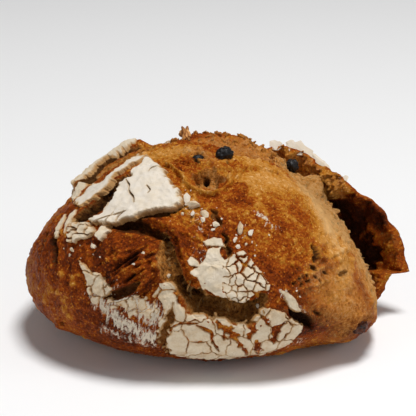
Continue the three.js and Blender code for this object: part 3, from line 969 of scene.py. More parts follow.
def put_mesh(
    name: str, points: Array, faces: Sequence[Array], paints: dict[str, Array], facets: bool = False
) -> Piece:
    """Make a piece from arrays.

    Args:
        name: The piece's name.
        points: Its corners in millimetres.
        faces: Its faces in blocks of equal ones, counter-clockwise seen from outside.
        paints: Numbers for each corner that its finish reads, by name.
        facets: Whether its faces stay flat, as on something broken.

    Returns:
        The piece, linked to the scene with its place in its mesh.
    """
    mesh = bpy.data.meshes.new(name)
    listed = [face for block in faces for face in block.tolist()]
    mesh.from_pydata((points * METRES_PER_MM).tolist(), [], listed, shade_flat=facets)
    for label, values in paints.items():
        layer = mesh.attributes.new(label, "FLOAT", "POINT")
        layer.data.foreach_set("value", np.asarray(values, dtype=np.float32))
    piece = bpy.data.objects.new(name, mesh)
    bpy.context.scene.collection.objects.link(piece)
    return piece


def dress(piece: Piece, material: Material, slot: str, *nodes: str) -> None:
    """Give a piece its material, and let it ride on the loaf.

    Args:
        piece: The piece.
        material: Its finish.
        slot: Not used.
        nodes: Solids that it replaces.
    """
    piece.data.materials.append(material)
    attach(piece, "root")
    if nodes:
        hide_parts(*nodes)
    LOG.info("%s: %d faces", piece.name, len(piece.data.polygons))


def globe(around: int, rings: int) -> tuple[Array, list[Array]]:
    """Lay out a closed ball of unit directions: two poles, and rings of points between them.

    Args:
        around: Points in each ring.
        rings: Rings between the poles.

    Returns:
        The directions and the faces, fans at the poles and four-sided between.
    """
    fall = np.pi * np.arange(1, rings + 1) / (rings + 1)
    turn = 2 * np.pi * np.arange(around) / around
    ring = np.stack(
        [
            np.outer(np.sin(fall), np.cos(turn)),
            np.outer(np.sin(fall), np.sin(turn)),
            np.outer(np.cos(fall), np.ones(around)),
        ],
        axis=2,
    ).reshape(-1, 3)
    points = np.vstack([ring, [[0, 0, 1], [0, 0, -1]]])
    index = np.arange(around * rings).reshape(rings, around)
    beside = np.roll(index, -1, axis=1)
    top = np.stack([np.full(around, len(ring)), index[0], beside[0]], axis=1)
    foot = np.stack([np.full(around, len(ring) + 1), beside[-1], index[-1]], axis=1)
    return points, [grid_cells(index, closed=True), top, foot]


def stand(outward: Array, turn: Array | float) -> Array:
    """Give frames that stand on the crust: across, along and outward, turned by an angle in radians.

    Args:
        outward: Unit vectors away from the crust.
        turn: Turn about them.

    Returns:
        Three axes for each, one to a row.
    """
    first = unit(np.cross(Side.FRONT.value.axes()[1], outward))
    second = np.cross(outward, first)
    turn = np.broadcast_to(turn, outward.shape[:1])[:, None]
    across = first * np.cos(turn) + second * np.sin(turn)
    return np.stack([across, np.cross(outward, across), outward], axis=1)


@dataclass(frozen=True)
class CrustBody:
    """The whole crust as one closed skin, on a square sheet folded round the loaf from the front."""

    surface: LoafSurface = SURFACE
    cells: int = 312
    front_share: float = 0.35

    def directions(self) -> Array:
        """Fold a square grid onto the ball as an octahedron is unfolded, with the front drawn closer.

        The square's middle diamond is the front half, and its corners fold to the back. An angle from
        the front becomes itself less a share of its sine, so that cells are finest in front.

        Returns:
            Unit vectors from the heart, row by row.
        """
        line = np.linspace(-1.0, 1.0, self.cells + 1)
        a, b = np.meshgrid(line, line, indexing="ij")
        c = 1.0 - np.abs(a) - np.abs(b)
        fold = c < 0
        x = np.where(fold, (1.0 - np.abs(b)) * np.where(a < 0, -1, 1), a)
        y = np.where(fold, (1.0 - np.abs(a)) * np.where(b < 0, -1, 1), b)
        local = unit(np.stack([x, y, c], axis=-1).reshape(-1, 3))
        off = np.arccos(np.clip(local[:, 2], -1.0, 1.0))
        off = off - self.front_share * np.sin(off)
        side = local[:, :2] / np.maximum(np.linalg.norm(local[:, :2], axis=1, keepdims=True), TINY)
        return Side.FRONT.value.gather(side * off[:, None] * MAP_RADIUS)

    def faces(self) -> tuple[Array, Array]:
        """List the grid's cells, with each edge of the square closed upon itself.

        Returns:
            The grid corners that are kept, and the cells as places in that list.
        """
        side = self.cells + 1
        i, j = np.meshgrid(np.arange(side), np.arange(side), indexing="ij")
        rim_i, rim_j = (i == 0) | (i == self.cells), (j == 0) | (j == self.cells)
        shut_i = np.where(rim_j, np.minimum(i, self.cells - i), i)
        shut_j = np.where(rim_i, np.minimum(j, self.cells - j), j)
        shut_i, shut_j = np.where(rim_i & rim_j, 0, shut_i), np.where(rim_i & rim_j, 0, shut_j)
        kept, place = np.unique((shut_i * side + shut_j).ravel(), return_inverse=True)
        return kept, grid_cells(place.reshape(side, side))

    def build(self, material: Material) -> None:
        """Make the crust in place of the loaf's solid.

        Args:
            material: Its finish.
        """
        kept, cells = self.faces()
        directions = self.directions()[kept]
        sample = self.surface.sample(directions)
        points = self.surface.form.points(directions, sample.lift)
        dress(put_mesh("crust", points, [cells], sample.paints()), material, "crust", "loaf")


@dataclass(frozen=True)
class TornLip:
    """The flap of crust that the oven tore away along the right side, curling out behind the loaf."""

    surface: LoafSurface = SURFACE
    top: float = 68.0
    bottom: float = -17.0
    root: float = 40.0
    edge: float = 6.0
    edge_top: float = 19.0
    edge_clock: Span = (27.0, 43.0)
    reach: Pixels = (
        (-17, 0), (-14, 7), (-11, 11), (-7.5, 15), (-5, 18), (-4, 32), (1, 31), (5, 30), (7.5, 29),
        (10.5, 28.5), (18, 26), (21.5, 22.5), (27, 18.5), (33, 18), (38, 17.5), (43, 16), (52, 12.5),
        (60, 8.5), (68, 5),
    )
    root_thickness: float = 9.0
    edge_thickness: float = 2.5
    curl: float = 1.6
    sink: float = 0.8
    dive: float = 6.0
    dive_clock: float = 12.0
    crumb_clock: Span = (20.0, 30.0)
    flap_share: Span = (0.7, 0.76)
    flap_clock: Span = (9.0, 13.0)
    wave: Noise = Noise(7.7, 20, strength=0.35)
    ripple: Noise = Noise(1.7, 26, 2, 0.3)
    ragged: Noise = Noise(6.0, 0, 2)
    lump: Noise = Noise(7.0, 4, 4)
    patch: Noise = Noise(9.0, 5, 3)
    grit: Noise = Noise(2.4, 28, 2)
    columns: int = 220
    rows: int = 60

    def extent(self, clock: Array) -> Array:
        """Work out how far the lip stands out: full at the corner, slight at the top, and wavy.

        Args:
            clock: Clock angles in degrees.

        Returns:
            Heights over the form.
        """
        line = np.stack([np.ravel(clock), 0.0 * np.ravel(clock), 0.0 * np.ravel(clock)], axis=1)
        wave = self.wave.at(line) + self.ripple.at(line)
        return np.interp(clock, *np.array(self.reach).T) + wave.reshape(np.shape(clock))

    def skin(self, clock: Array, share: Array, inner: bool) -> Array:
        """Place one face of the lip.

        The lip leaves the loaf at the root, well behind the outline, and comes forward to its edge, less
        far in its upper part, while it stands out by its reach times the share of the way to the power of
        the curl. Its upper end dives into the crust along a smooth step.

        Args:
            clock: Clock angles in degrees.
            share: Share of the way from root to edge, 0 to 1.
            inner: Whether it is the face towards the loaf.

        Returns:
            The points.
        """
        form = self.surface.form
        edge = self.edge + (self.edge_top - self.edge) * smooth_step(clock, *self.edge_clock)
        direction = form.clock_direction(clock, self.root + (edge - self.root) * share)
        out = form.radius(direction) - self.sink * (1.0 - share) + self.extent(clock) * share**self.curl
        out = out - self.dive * smooth_step(clock, self.top - self.dive_clock, self.top)
        if inner:
            out = out - (self.root_thickness + (self.edge_thickness - self.root_thickness) * share)
        return HEART + direction * out[..., None]

    def build(self, material: Material) -> None:
        """Make the lip as a ring of outer and inner face, carried along the clock and closed at both ends.

        Args:
            material: Its finish.
        """
        clock = np.linspace(self.top, self.bottom, self.columns)
        share = np.linspace(0.0, 1.0, self.rows)
        clock_grid, share_grid = np.meshgrid(clock, share, indexing="ij")
        inward = np.concatenate([np.zeros(self.rows, bool), np.ones(self.rows, bool)])
        share_ring = np.concatenate([share_grid, share_grid[:, ::-1]], axis=1)
        clock_ring = np.concatenate([clock_grid, clock_grid], axis=1)
        ragged = self.ragged.at(np.stack([clock, clock * 0, clock * 0 + 3], axis=1))
        short = share_ring * (1.0 - 0.04 * (1.0 + ragged[:, None]) * share_ring**4)
        outer = self.skin(clock_ring, short, False)
        inner = self.skin(clock_ring, short, True)
        points = np.where(inward[None, :, None], inner, outer).reshape(-1, 3)
        clock, share = clock_ring.ravel(), share_ring.ravel()
        inside = np.broadcast_to(inward, share_ring.shape).ravel()
        rough, middle, grit = (noise.at(points) for noise in (self.lump, self.patch, self.grit))
        high = smooth_step(clock + 8.0 * middle, *self.crumb_clock)
        flap = smooth_step(share + 0.12 * middle, *self.flap_share)
        flap = flap * (1.0 - smooth_step(clock + 2.0 * middle, *self.flap_clock))
        crumbly = (1.6 + 1.0 * high) * rough + (1.0 + 2.0 * high) * grit - 2.2 * flap
        amount = np.where(inside, crumbly, 0.7 * rough) * smooth_step(share, 0.0, 0.25)
        points = points + unit(points - HEART) * amount[:, None]
        deep = 1.0 - smooth_step(share + 0.2 * middle, 0.3, 1.0)
        # The inner face is painted darker towards the root as painted shade in the cavity. Its upper part is
        # paler, partly for its torn crumb and partly as painted light where it faces away from the lamps.
        paints = {
            "bake": np.where(inside, 0.84 - 0.42 * high - 0.2 * flap + 0.15 * rough, 0.58 + 0.14 * middle),
            "crumb": np.where(inside, np.clip(0.25 * high + 0.15 * flap + 0.25 * rough, 0.0, 0.6), 0.0),
            "dust": np.where(inside, 0.0, 0.2),
            "char": np.where(inside, (1.0 - 0.95 * np.maximum(high, flap)) * (0.5 + 0.5 * deep), 0.0),
        }
        ring = 2 * self.rows
        index = np.arange(self.columns * ring).reshape(self.columns, ring)
        faces = [grid_cells(index, closed=True), index[:1, ::-1], index[-1:]]
        dress(put_mesh("torn_lip", points, faces, paints), material, "crust")


@dataclass(frozen=True)
class Plate:
    """A flake of baked-on flour paste, whole or broken into cells by cracks."""

    name: str
    outline: Pixels
    thickness: float
    edge: float = 1.3
    ragged: float = 0.8
    bevel: float = 2.0
    cell: float = 0.0
    crack: float = 0.0
    crack_span: Span = (0.0, 1.0)


@dataclass(frozen=True)
class Crack:
    """A line along which a flour sheet is open."""

    path: Pixels
    width: float


@dataclass(frozen=True)
class FlourSheet:
    """Flour plates that lie together on one part of the crust."""

    name: str
    plates: tuple[Plate, ...]
    cracks: tuple[Crack, ...] = ()
    side: Side = Side.FRONT
    step: float = 0.45
    margin: float = 2.5
    bed: float = 0.6
    tuck: float = 0.6
    slab: float = 0.8
    crack_edge: float = 0.3
    follow: float = 0.4
    stain: float = 0.0
    rim: float = 0.7
    keep: float = 0.1
    nibble: Noise = Noise(6.0, 6, strength=0.9)
    nick: Noise = Noise(2.4, 7, 2, 0.6)
    bends: tuple[Noise, ...] = tuple(Noise(3.0, k, 2, 0.9) for k in (8, 9))
    gape: Noise = Noise(8.0, 10, strength=1.3)
    bumps: Noise = Noise(5.0, 11, 2, 0.12)
    waver: Noise = Noise(3.0, 12, 2, 0.9)
    sag: Noise = Noise(7.0, 13, 3, 0.25)
    surface: LoafSurface = SURFACE

    def chart(self, pixels: Pixels) -> Array:
        """Give the map places of pixels on the crust."""
        return self.side.value.spread(self.surface.land(self.side, pixels))

    def inside(self, plate: Plate, places: Array, pixels: Array) -> tuple[Array, Array]:
        """Measure places against a plate's ragged outline and its cracks.

        Args:
            plate: The plate.
            places: Map places.
            pixels: The same places in the picture.

        Returns:
            The distance inside the outline and the distance from the nearest crack between cells.
        """
        LOG.debug("%s: %s", self.name, plate.name)
        flat = np.column_stack([places, np.zeros(len(places))])
        inside = inside_distance(places, self.chart(plate.outline))
        inside = inside + plate.ragged * (self.nibble.at(flat) + self.nick.at(flat))
        shut = np.full(len(places), FAR)
        if plate.cell:
            bent = places + np.stack([bend.at(flat) for bend in self.bends], axis=1)
            border = crack_cells(bent, plate.cell, SEED)
            open_share = smooth_step(pixels[:, 0], *plate.crack_span)
            width = plate.crack * open_share * np.clip(0.8 + self.gape.at(flat), 0.0, 2.0)
            shut = border - 0.5 * width + FAR * (1.0 - smooth_step(open_share, 0.0, 0.15))
        return inside, shut

    def build(self, material: Material) -> None:
        """Make the sheet as a closed shell.

        Its upper face is the crust's lift plus each plate's thickness t, which falls along its edge as
        t (1 - (1 - x)^b)^(1/b): a quarter of an ellipse for a bevel b of 2, straight for 1. Its lower
        face lies inside the crust, or hangs over a gap as a slab's underside, and walls join them round
        each rim.

        Args:
            material: The flour's finish.
        """
        view = self.side.value
        corners = np.vstack([self.chart(plate.outline) for plate in self.plates])
        low, high = corners.min(axis=0) - self.margin, corners.max(axis=0) + self.margin
        columns, rows = (np.arange(low[k], high[k], self.step) for k in (0, 1))
        places = np.stack(np.meshgrid(columns, rows, indexing="ij"), axis=2).reshape(-1, 2)
        directions = view.gather(places)
        crust = self.surface.sample(directions)
        calm = self.surface.sample(directions, bare=False).lift
        pixels = view.project(self.surface.form.points(directions, crust.lift))
        flat = np.column_stack([places, np.zeros(len(places))])
        best = np.full(len(places), -FAR)
        outer, thick = best, np.zeros(len(places))
        for plate in self.plates:
            inside, shut = self.inside(plate, places, pixels)
            round_off = 1.0 - (1.0 - np.clip(inside / plate.edge, 0.0, 1.0)) ** plate.bevel
            round_off = round_off ** (1.0 / plate.bevel)
            round_off = round_off * np.clip(shut / self.crack_edge, 0.0, 1.0) ** 0.5
            thick = np.maximum(thick, plate.thickness * round_off * (1.0 + self.bumps.at(flat)))
            best = np.maximum(best, np.minimum(inside, shut))
            outer = np.maximum(outer, inside)
        for crack in self.cracks:
            gap, along = path_distance(places, smooth_path(self.chart(crack.path)))
            ends = smooth_step(np.minimum(along, 1.0 - along), 0.0, 0.25)
            uneven = 1.0 + self.waver.at(flat)
            shut = gap - 0.5 * crack.width * (0.3 + 0.7 * ends) * uneven
            thick = thick * np.clip(shut / self.crack_edge, 0.0, 1.0) ** 0.5
            best = np.minimum(best, shut)
        follow = calm + self.follow * np.clip(crust.lift - calm, -1.5, 1.5)
        follow = follow + self.sag.at(flat)
        under = np.maximum(crust.lift - self.tuck, calm - self.slab)
        upper = np.where(best > 0, np.maximum(follow + thick, under), under)
        brown = 1.0 - np.minimum(smooth_step(outer, -0.2, self.rim), smooth_step(best, -0.2, 0.7))
        grid = (len(columns), len(rows))
        self.shell(directions, upper, under - self.bed, best, brown, grid, material)

    def shell(
        self, directions: Array, upper: Array, lower: Array, inside: Array, brown: Array,
        grid: tuple[int, int], material: Material,
    ) -> None:
        """Close the kept cells of the grid into a shell.

        Args:
            directions: Grid directions from the heart.
            upper: Lift of the upper face.
            lower: Lift of the lower face.
            inside: Distance inside the plates, which says what is kept.
            brown: How brown the flour is, 0 to 1.
            grid: Grid points each way.
            material: The flour's finish.
        """
        cells = grid_cells(np.arange(grid[0] * grid[1]).reshape(grid))
        cells = cells[(inside[cells] > -self.keep).any(axis=1)]
        start, end = cells.ravel(), np.roll(cells, -1, axis=1).ravel()
        rim = ~np.isin(start * len(inside) + end, end * len(inside) + start)
        used, place = np.unique(cells, return_inverse=True)
        place = place.reshape(-1, 4)
        where = np.zeros(len(inside), dtype=int)
        where[used] = np.arange(len(used))
        a, b, count = where[start[rim]], where[end[rim]], len(used)
        walls = np.stack([b, a, a + count, b + count], axis=1)
        form = self.surface.form
        points = np.vstack([form.points(directions[used], lift[used]) for lift in (upper, lower)])
        tone = self.stain + (1.0 - self.stain) * brown[used]
        faces = [place, place[:, ::-1] + count, walls]
        paints = {"tone": np.concatenate([tone, tone])}
        dress(put_mesh(self.name, points, faces, paints, facets=True), material, "crust")


TOP_FLOUR = FlourSheet(
    "flour_top",
    (
        Plate(
            "top plate",
            (
                (135, 174), (143, 168), (149, 160), (154, 162), (162, 168), (169, 176), (174, 185),
                (182, 193), (186, 199), (183, 206), (168, 210), (150, 215), (130, 221), (115, 224),
                (105, 227), (96, 226), (91, 220), (102, 213), (109, 206), (115, 199), (121, 192),
                (122, 186), (133, 179),
            ),
            thickness=4.4, edge=2.2, ragged=1.7, bevel=1.4,
        ),
        Plate(
            "strip plate",
            (
                (76, 203), (85, 194), (93, 187), (105, 182), (115, 173), (127, 164), (140, 157), (150, 157),
                (144, 161), (131, 168), (121, 174), (110, 185), (105, 191), (95, 200), (81, 207),
            ),
            thickness=2.4, edge=0.9, ragged=1.5, bevel=1.6,
        ),
    ),
    (
        Crack(((131, 183), (134, 189), (133, 193), (137, 199), (138, 204)), 0.6),
        Crack(((152, 175), (155, 172), (161, 171)), 0.35),
        Crack(((150, 188), (153, 192), (151, 195)), 0.2),
        Crack(((97, 223), (108, 219), (122, 214), (130, 212)), 0.35),
        Crack(((104, 227), (111, 221), (117, 213)), 0.35),
        Crack(((119, 225), (121, 218), (127, 212)), 0.3),
    ),
    follow=0.1, rim=3.2,
)

LEFT_FLOUR = FlourSheet(
    "flour_left",
    (
        Plate(
            "left lump",
            ((75, 222), (92, 222), (97, 230), (98, 234), (83, 240), (77, 243), (71, 241), (70, 233)),
            thickness=3.2, edge=0.7, ragged=1.1, cell=5.0, crack=0.4,
        ),
        Plate(
            "small lump", ((103, 224), (107, 225), (111, 230), (103, 239), (98, 235)), thickness=3.2,
            edge=0.8, ragged=1.0,
        ),
        Plate(
            "left edge", ((73, 197), (75, 190), (83, 183), (88, 184), (80, 193), (74, 201)), thickness=1.0,
            edge=0.7, ragged=0.7,
        ),
        Plate(
            "peeling flake", ((64, 214), (67, 212), (65, 222), (58, 236), (55, 237)), thickness=0.9,
            edge=0.6, ragged=0.5,
        ),
        Plate(
            "inner flake", ((71, 214), (77, 208), (77, 214), (70, 225), (66, 235), (65, 232)),
            thickness=1.2, edge=0.7, ragged=0.5,
        ),
    ),
    stain=0.36,
)

STRIP_FLOUR = FlourSheet(
    "flour_back_strip",
    (
        Plate(
            "back strip",
            (
                (122, 11.5), (127, 11), (133, 11.5), (138, 11), (144, 10.5), (150, 9), (153, 11), (150, 16),
                (144, 15), (139, 22), (133, 18), (128, 23), (123, 17),
            ),
            thickness=1.6, edge=1.0, ragged=1.1,
        ),
    ),
    side=RIM, follow=0.2, stain=0.35,
)

PATCH_FLOUR = FlourSheet(
    "flour_patch",
    (
        Plate(
            "patch plate",
            (
                (208, 248), (203, 262), (192, 272), (200, 280), (206, 287), (215, 294), (227, 296),
                (243, 302), (258, 291), (270, 290), (271, 282), (266, 275), (258, 268), (250, 256),
                (244, 250), (238, 250), (224, 259), (221, 246), (213, 246),
            ),
            thickness=1.5, edge=0.5, ragged=1.3, cell=4.6, crack=0.8, crack_span=(216.0, 244.0),
        ),
        Plate(
            "flake above", ((203, 241), (214, 236), (221, 238), (225, 246), (213, 246), (206, 245)),
            thickness=1.8, edge=0.9, ragged=0.6,
        ),
        Plate(
            "flake beside", ((187, 260), (191, 255), (199, 260), (200, 266), (191, 265)), thickness=1.8,
            edge=0.9, ragged=0.5,
        ),
    ),
    step=0.38, stain=0.3,
)

FRONT_FLOUR = FlourSheet(
    "flour_front",
    (
        Plate(
            "band tip",
            (
                (80, 260), (88, 268), (101, 273), (107, 280), (113, 288), (108, 293), (102, 296), (99, 304),
                (93, 303), (88, 290), (86, 274),
            ),
            thickness=1.4, edge=0.7, ragged=1.0, cell=9.0, crack=0.5,
        ),
        Plate(
            "band shoulder",
            (
                (104, 300), (117, 297), (135, 294), (146, 295), (151, 306), (154, 320), (146, 316),
                (139, 310), (130, 314), (124, 306), (114, 311),
            ),
            thickness=0.9, edge=0.6, ragged=2.0, cell=6.0, crack=0.7,
        ),
        Plate(
            "band",
            (
                (148, 293), (160, 284), (168, 278), (172, 285), (182, 305), (190, 310), (213, 315),
                (238, 322), (253, 320), (264, 309), (268, 306), (283, 311), (292, 318), (301, 325),
                (298, 334), (288, 344), (270, 351), (240, 355), (190, 356), (168, 352), (159, 340),
                (156, 322), (151, 304),
            ),
            thickness=1.1, edge=0.7, ragged=1.7, cell=14.0, crack=0.3,
        ),
        Plate(
            "right streak", ((281, 290), (288, 291), (297, 303), (301, 311), (295, 309), (286, 301)),
            thickness=0.7, edge=0.6, ragged=0.9,
        ),
    ),
    (
        Crack(((173, 302), (170, 318), (163, 336), (170, 354)), 3.6),
        Crack(((172, 326), (180, 322), (198, 321)), 1.0),
        Crack(((197, 323), (211, 331), (212, 338), (219, 349)), 1.6),
        Crack(((217, 320), (222, 326), (232, 333), (239, 341)), 4.0),
        Crack(((224, 328), (224, 338)), 1.8),
        Crack(((250, 317), (251, 326), (249, 336)), 4.2),
        Crack(((256, 338), (257, 345), (258, 352)), 4.0),
        Crack(((284, 321), (275, 329), (273, 342)), 3.2),
        Crack(((261, 314), (264, 318), (268, 323)), 2.0),
        Crack(((236, 340), (243, 346), (247, 353)), 1.8),
        Crack(((158, 297), (161, 310), (157, 322)), 2.6),
    ),
    # Its stain is partly the browning of thin flour and partly painted shade on the lower front.
    step=0.42, stain=0.45,
)

BACK_FLOUR = FlourSheet(
    "flour_back",
    (
        Plate(
            "back plate",
            (
                (318, 214), (299, 228), (270, 247), (243, 266), (215, 272), (190, 280), (181, 292),
                (194, 303), (222, 299), (236, 310), (262, 308), (290, 300), (312, 278), (338, 270),
                (354, 242), (341, 221),
            ),
            thickness=2.8, edge=1.2, ragged=1.5, cell=17.0, crack=0.4,
        ),
        Plate(
            "back heel plate",
            (
                (344, 292), (330, 306), (310, 309), (290, 318), (268, 316), (246, 326), (228, 324),
                (214, 334), (240, 344), (282, 347), (318, 336), (340, 316),
            ),
            thickness=1.2, edge=0.8, ragged=2.6,
        ),
        Plate(
            "back lump", ((150, 215), (168, 208), (180, 214), (174, 226), (158, 230)), thickness=2.6,
            edge=0.9, ragged=1.2, cell=6.0, crack=0.4,
        ),
    ),
    (
        Crack(((303, 222), (296, 240), (304, 262), (298, 300)), 1.4),
        Crack(((256, 254), (262, 274), (254, 288), (262, 312)), 1.0),
        Crack(((345, 230), (326, 246), (304, 250)), 0.9),
        Crack(((226, 268), (222, 284), (228, 302)), 1.6),
        Crack(((304, 308), (299, 322), (308, 342)), 1.6),
        Crack(((262, 316), (268, 330), (258, 346)), 2.4),
        Crack(((268, 330), (282, 334), (300, 330)), 0.9),
    ),
    side=BACK, step=0.6, stain=0.3,
)


BLOB_LUMPS = Noise(0.8, 14, 2)


def blobs(
    seats: Array, frames: Array, halves: Array, around: int, rings: int, rough: float
) -> tuple[Array, list[Array]]:
    """Set lumpy closed blobs on the crust, all at once.

    Each is a ball stretched to its half-sizes along its own frame, its radius varied by lumps.

    Args:
        seats: Middles, in millimetres.
        frames: Three axes for each, one to a row.
        halves: Half-sizes along those axes.
        around: Points in each ring.
        rings: Rings in each blob.
        rough: Share of the radius that the lumps change.

    Returns:
        All the points and all the faces.
    """
    ball, faces = globe(around, rings)
    count = len(seats)
    key = (ball[None] + 11.0 * np.arange(count)[:, None, None]).reshape(-1, 3)
    shape = ball[None] * (1.0 + rough * BLOB_LUMPS.at(key).reshape(count, -1, 1))
    points = seats[:, None] + np.einsum("kpi,kij->kpj", shape * halves[:, None], frames)
    return points.reshape(-1, 3), [block + k * len(ball) for k in range(count) for block in faces]


@dataclass(frozen=True)
class FlourChips:
    """Loose chips of flour crust on the loaf, and the crumbs scattered near the plates."""

    surface: LoafSurface = SURFACE
    chips: tuple[Triple, ...] = (
        (187, 199, 3.0), (193, 205, 3.6), (193, 214, 2.2), (205, 214, 3.4), (183, 214, 1.6),
        (203, 219, 1.8), (216, 224, 2.6), (213, 229, 1.3), (240, 229, 3.2), (250, 232, 2.6),
        (235, 239, 2.0), (73, 249, 1.9), (72, 254, 1.1), (93, 245, 1.9), (144, 252, 1.2), (136, 263, 1.2),
        (238, 246, 1.6), (169, 142, 3.6), (246, 243, 1.2), (262, 309, 1.6), (166, 276, 1.8),
    )
    crumbs: int = 80
    crumb_size: float = 0.5
    strewn: Pixels = (
        (190, 200), (215, 222), (245, 240), (262, 272), (285, 300), (255, 312), (120, 300), (85, 250),
    )
    scatter_px: float = 11.0

    def build(self, material: Material) -> None:
        """Make the chips and crumbs as one piece of small blobs, each sunk a little into the crust.

        Args:
            material: Its finish.
        """
        rng = np.random.default_rng(SEED)
        chips = np.array(self.chips)
        middle = np.array(self.strewn)[rng.integers(0, len(self.strewn), self.crumbs)]
        crumbs = middle + rng.normal(0.0, self.scatter_px, (self.crumbs, 2))
        sizes = np.concatenate([chips[:, 2], self.crumb_size * rng.uniform(0.5, 1.6, self.crumbs)])
        outward = self.surface.land(Side.FRONT, np.vstack([chips[:, :2], crumbs]))
        points = self.surface.form.points(outward, self.surface.sample(outward).lift)
        frames = stand(outward, rng.uniform(0.0, np.pi, len(sizes)))
        halves = sizes[:, None] * rng.uniform(0.75, 1.15, (len(sizes), 3)) * np.array([1.0, 0.75, 0.55])
        seats = points + outward * (0.25 * sizes)[:, None]
        mesh, faces = blobs(seats, frames, halves, around=6, rings=2, rough=0.55)
        tone = np.repeat(rng.uniform(0.0, 0.6, len(sizes)), len(mesh) // len(sizes))
        dress(put_mesh("flour_chips", mesh, faces, {"tone": tone}, facets=True), material, "crust")


@dataclass(frozen=True)
class RidgeFlakes:
    """Flat flakes of flour crust that stand along the top of the torn lip."""

    lip: TornLip = TornLip()
    flakes: tuple[Triple, ...] = ((60, 5, 6), (55, 6, 5), (50, 7, 13), (41, 4, 18), (31, 4, 6))
    thickness: float = 1.1
    share: float = 0.94
    tone: float = 0.15

    def build(self, material: Material) -> None:
        """Make the flakes as flattened blobs, long along the lip and standing out from it.

        Args:
            material: Their finish.
        """
        clock, height, width = np.array(self.flakes, dtype=float).T
        place = self.lip.skin(clock, np.full(len(clock), self.share), False)
        ahead = self.lip.skin(clock + 1.0, np.full(len(clock), self.share), False)
        outward = unit(place - HEART)
        along = unit(ahead - place)
        along = unit(along - outward * np.sum(along * outward, axis=1)[:, None])
        frames = np.stack([along, np.cross(outward, along), outward], axis=1)
        halves = np.stack([width / 2, np.full(len(clock), self.thickness / 2), height * 0.6], axis=1)
        seats = place + outward * (0.35 * height)[:, None]
        points, faces = blobs(seats, frames, halves, around=7, rings=3, rough=0.7)
        paints = {"tone": np.full(len(points), self.tone)}
        dress(put_mesh("ridge_flakes", points, faces, paints, facets=True), material, "crust")


@dataclass(frozen=True)
class Tuft:
    """One kind of torn bit: its length, its width and its paints."""

    length: Span
    width: float
    bake: float
    crumb: float
    # The last paint darkens a bit as painted shade, most for strands deep in crevices.
    char: Span


@dataclass(frozen=True)
class CrumbShreds:
    """Torn bits along the open edge and the crown's skyline, and strands of crumb across the crevices."""

    surface: LoafSurface = SURFACE
    tufts: tuple[Tuft, ...] = (
        Tuft((0.8, 2.2), 1.5, 0.3, 0.9, (0.0, 0.2)),
        Tuft((1.4, 4.0), 1.5, 0.15, 0.9, (0.0, 0.1)),
        Tuft((0.6, 1.6), 1.4, 0.5, 0.4, (0.0, 0.3)),
        Tuft((1.5, 4.0), 0.45, 0.4, 0.9, (0.2, 0.75)),
    )
    rows: tuple[tuple[int, Span, Span], ...] = (
        (30, (-12.0, 32.0), (-3.0, 5.0)),
        (30, (-10.0, 4.0), (-6.0, 4.0)),
        (80, (56.0, 112.0), (2.0, 13.0)),
    )
    strands: int = 26
    crevices: tuple[Stroke, ...] = tuple(s for s in BURSTS if s.crumb >= 1)

    def row(self, rng: np.random.Generator, count: int, clock: Span, behind: Span) -> tuple[Array, Array]:
        """Pick where a row of bits stands.

        Args:
            rng: The draws.
            count: How many bits.
            clock: Least and greatest clock angle.
            behind: Least and greatest angle behind the outline.

        Returns:
            Directions to the bits, and the way each leans.
        """
        outward = self.surface.form.clock_direction(rng.uniform(*clock, count), rng.uniform(*behind, count))
        return outward, unit(outward + rng.normal(0.0, 0.55, (count, 3)))

    def crevice_strands(self, rng: np.random.Generator, crevice: Stroke) -> tuple[Array, Array]:
        """Pick where strands lie in a crevice, and how they cross it from one wall.

        Args:
            rng: The draws.
            crevice: The stroke that opened it.

        Returns:
            Directions to the strands, and the way each reaches.
        """
        view = crevice.side.value
        path = smooth_path(view.chart(crevice.path))
        spot = rng.integers(0, len(path) - 1, self.strands)
        run = unit(path[spot + 1] - path[spot])
        across = np.stack([-run[:, 1], run[:, 0]], axis=1) * rng.choice([-1.0, 1.0], (self.strands, 1))
        places = path[spot] + across * crevice.half_width * rng.uniform(0.2, 0.85, (self.strands, 1))
        outward = view.gather(places)
        inward = unit(view.gather(places - across) - outward)
        return outward, unit(inward + 0.5 * outward + rng.normal(0.0, 0.35, (self.strands, 3)))

    def build(self, material: Material) -> None:
        """Make the bits as flat blobs and the strands as blobs drawn out to points.

        Args:
            material: Its finish.
        """
        rng = np.random.default_rng(SEED + 1)
        picked = [self.row(rng, *row) for row in self.rows]
        picked += [self.crevice_strands(rng, crevice) for crevice in self.crevices]
        kind = np.repeat(np.arange(len(picked)), [len(part[0]) for part in picked])
        kind = np.minimum(kind, len(self.tufts) - 1)
        outward, lean = (np.vstack(part) for part in zip(*picked))
        seats = self.surface.form.points(outward, self.surface.sample(outward).lift)
        long = rng.uniform(*np.array([tuft.length for tuft in self.tufts])[kind].T)
        wide = np.array([tuft.width for tuft in self.tufts])[kind] * rng.uniform(0.5, 1.4, len(kind))
        halves = np.stack([wide * 1.6, wide * 0.7, long], axis=1)
        frames = stand(lean, rng.uniform(0.0, np.pi, len(kind)))
        points, faces = blobs(seats, frames, halves, around=7, rings=5, rough=0.45)
        each = len(points) // len(kind)
        bake, crumb = np.array([(tuft.bake, tuft.crumb) for tuft in self.tufts])[kind].T
        char = rng.uniform(*np.array([tuft.char for tuft in self.tufts])[kind].T)
        paints = {"bake": bake, "crumb": crumb, "dust": 0.0 * bake, "char": char}
        paints = {name: np.repeat(values, each) for name, values in paints.items()}
        dress(put_mesh("crumb_shreds", points, faces, paints), material, "crust")


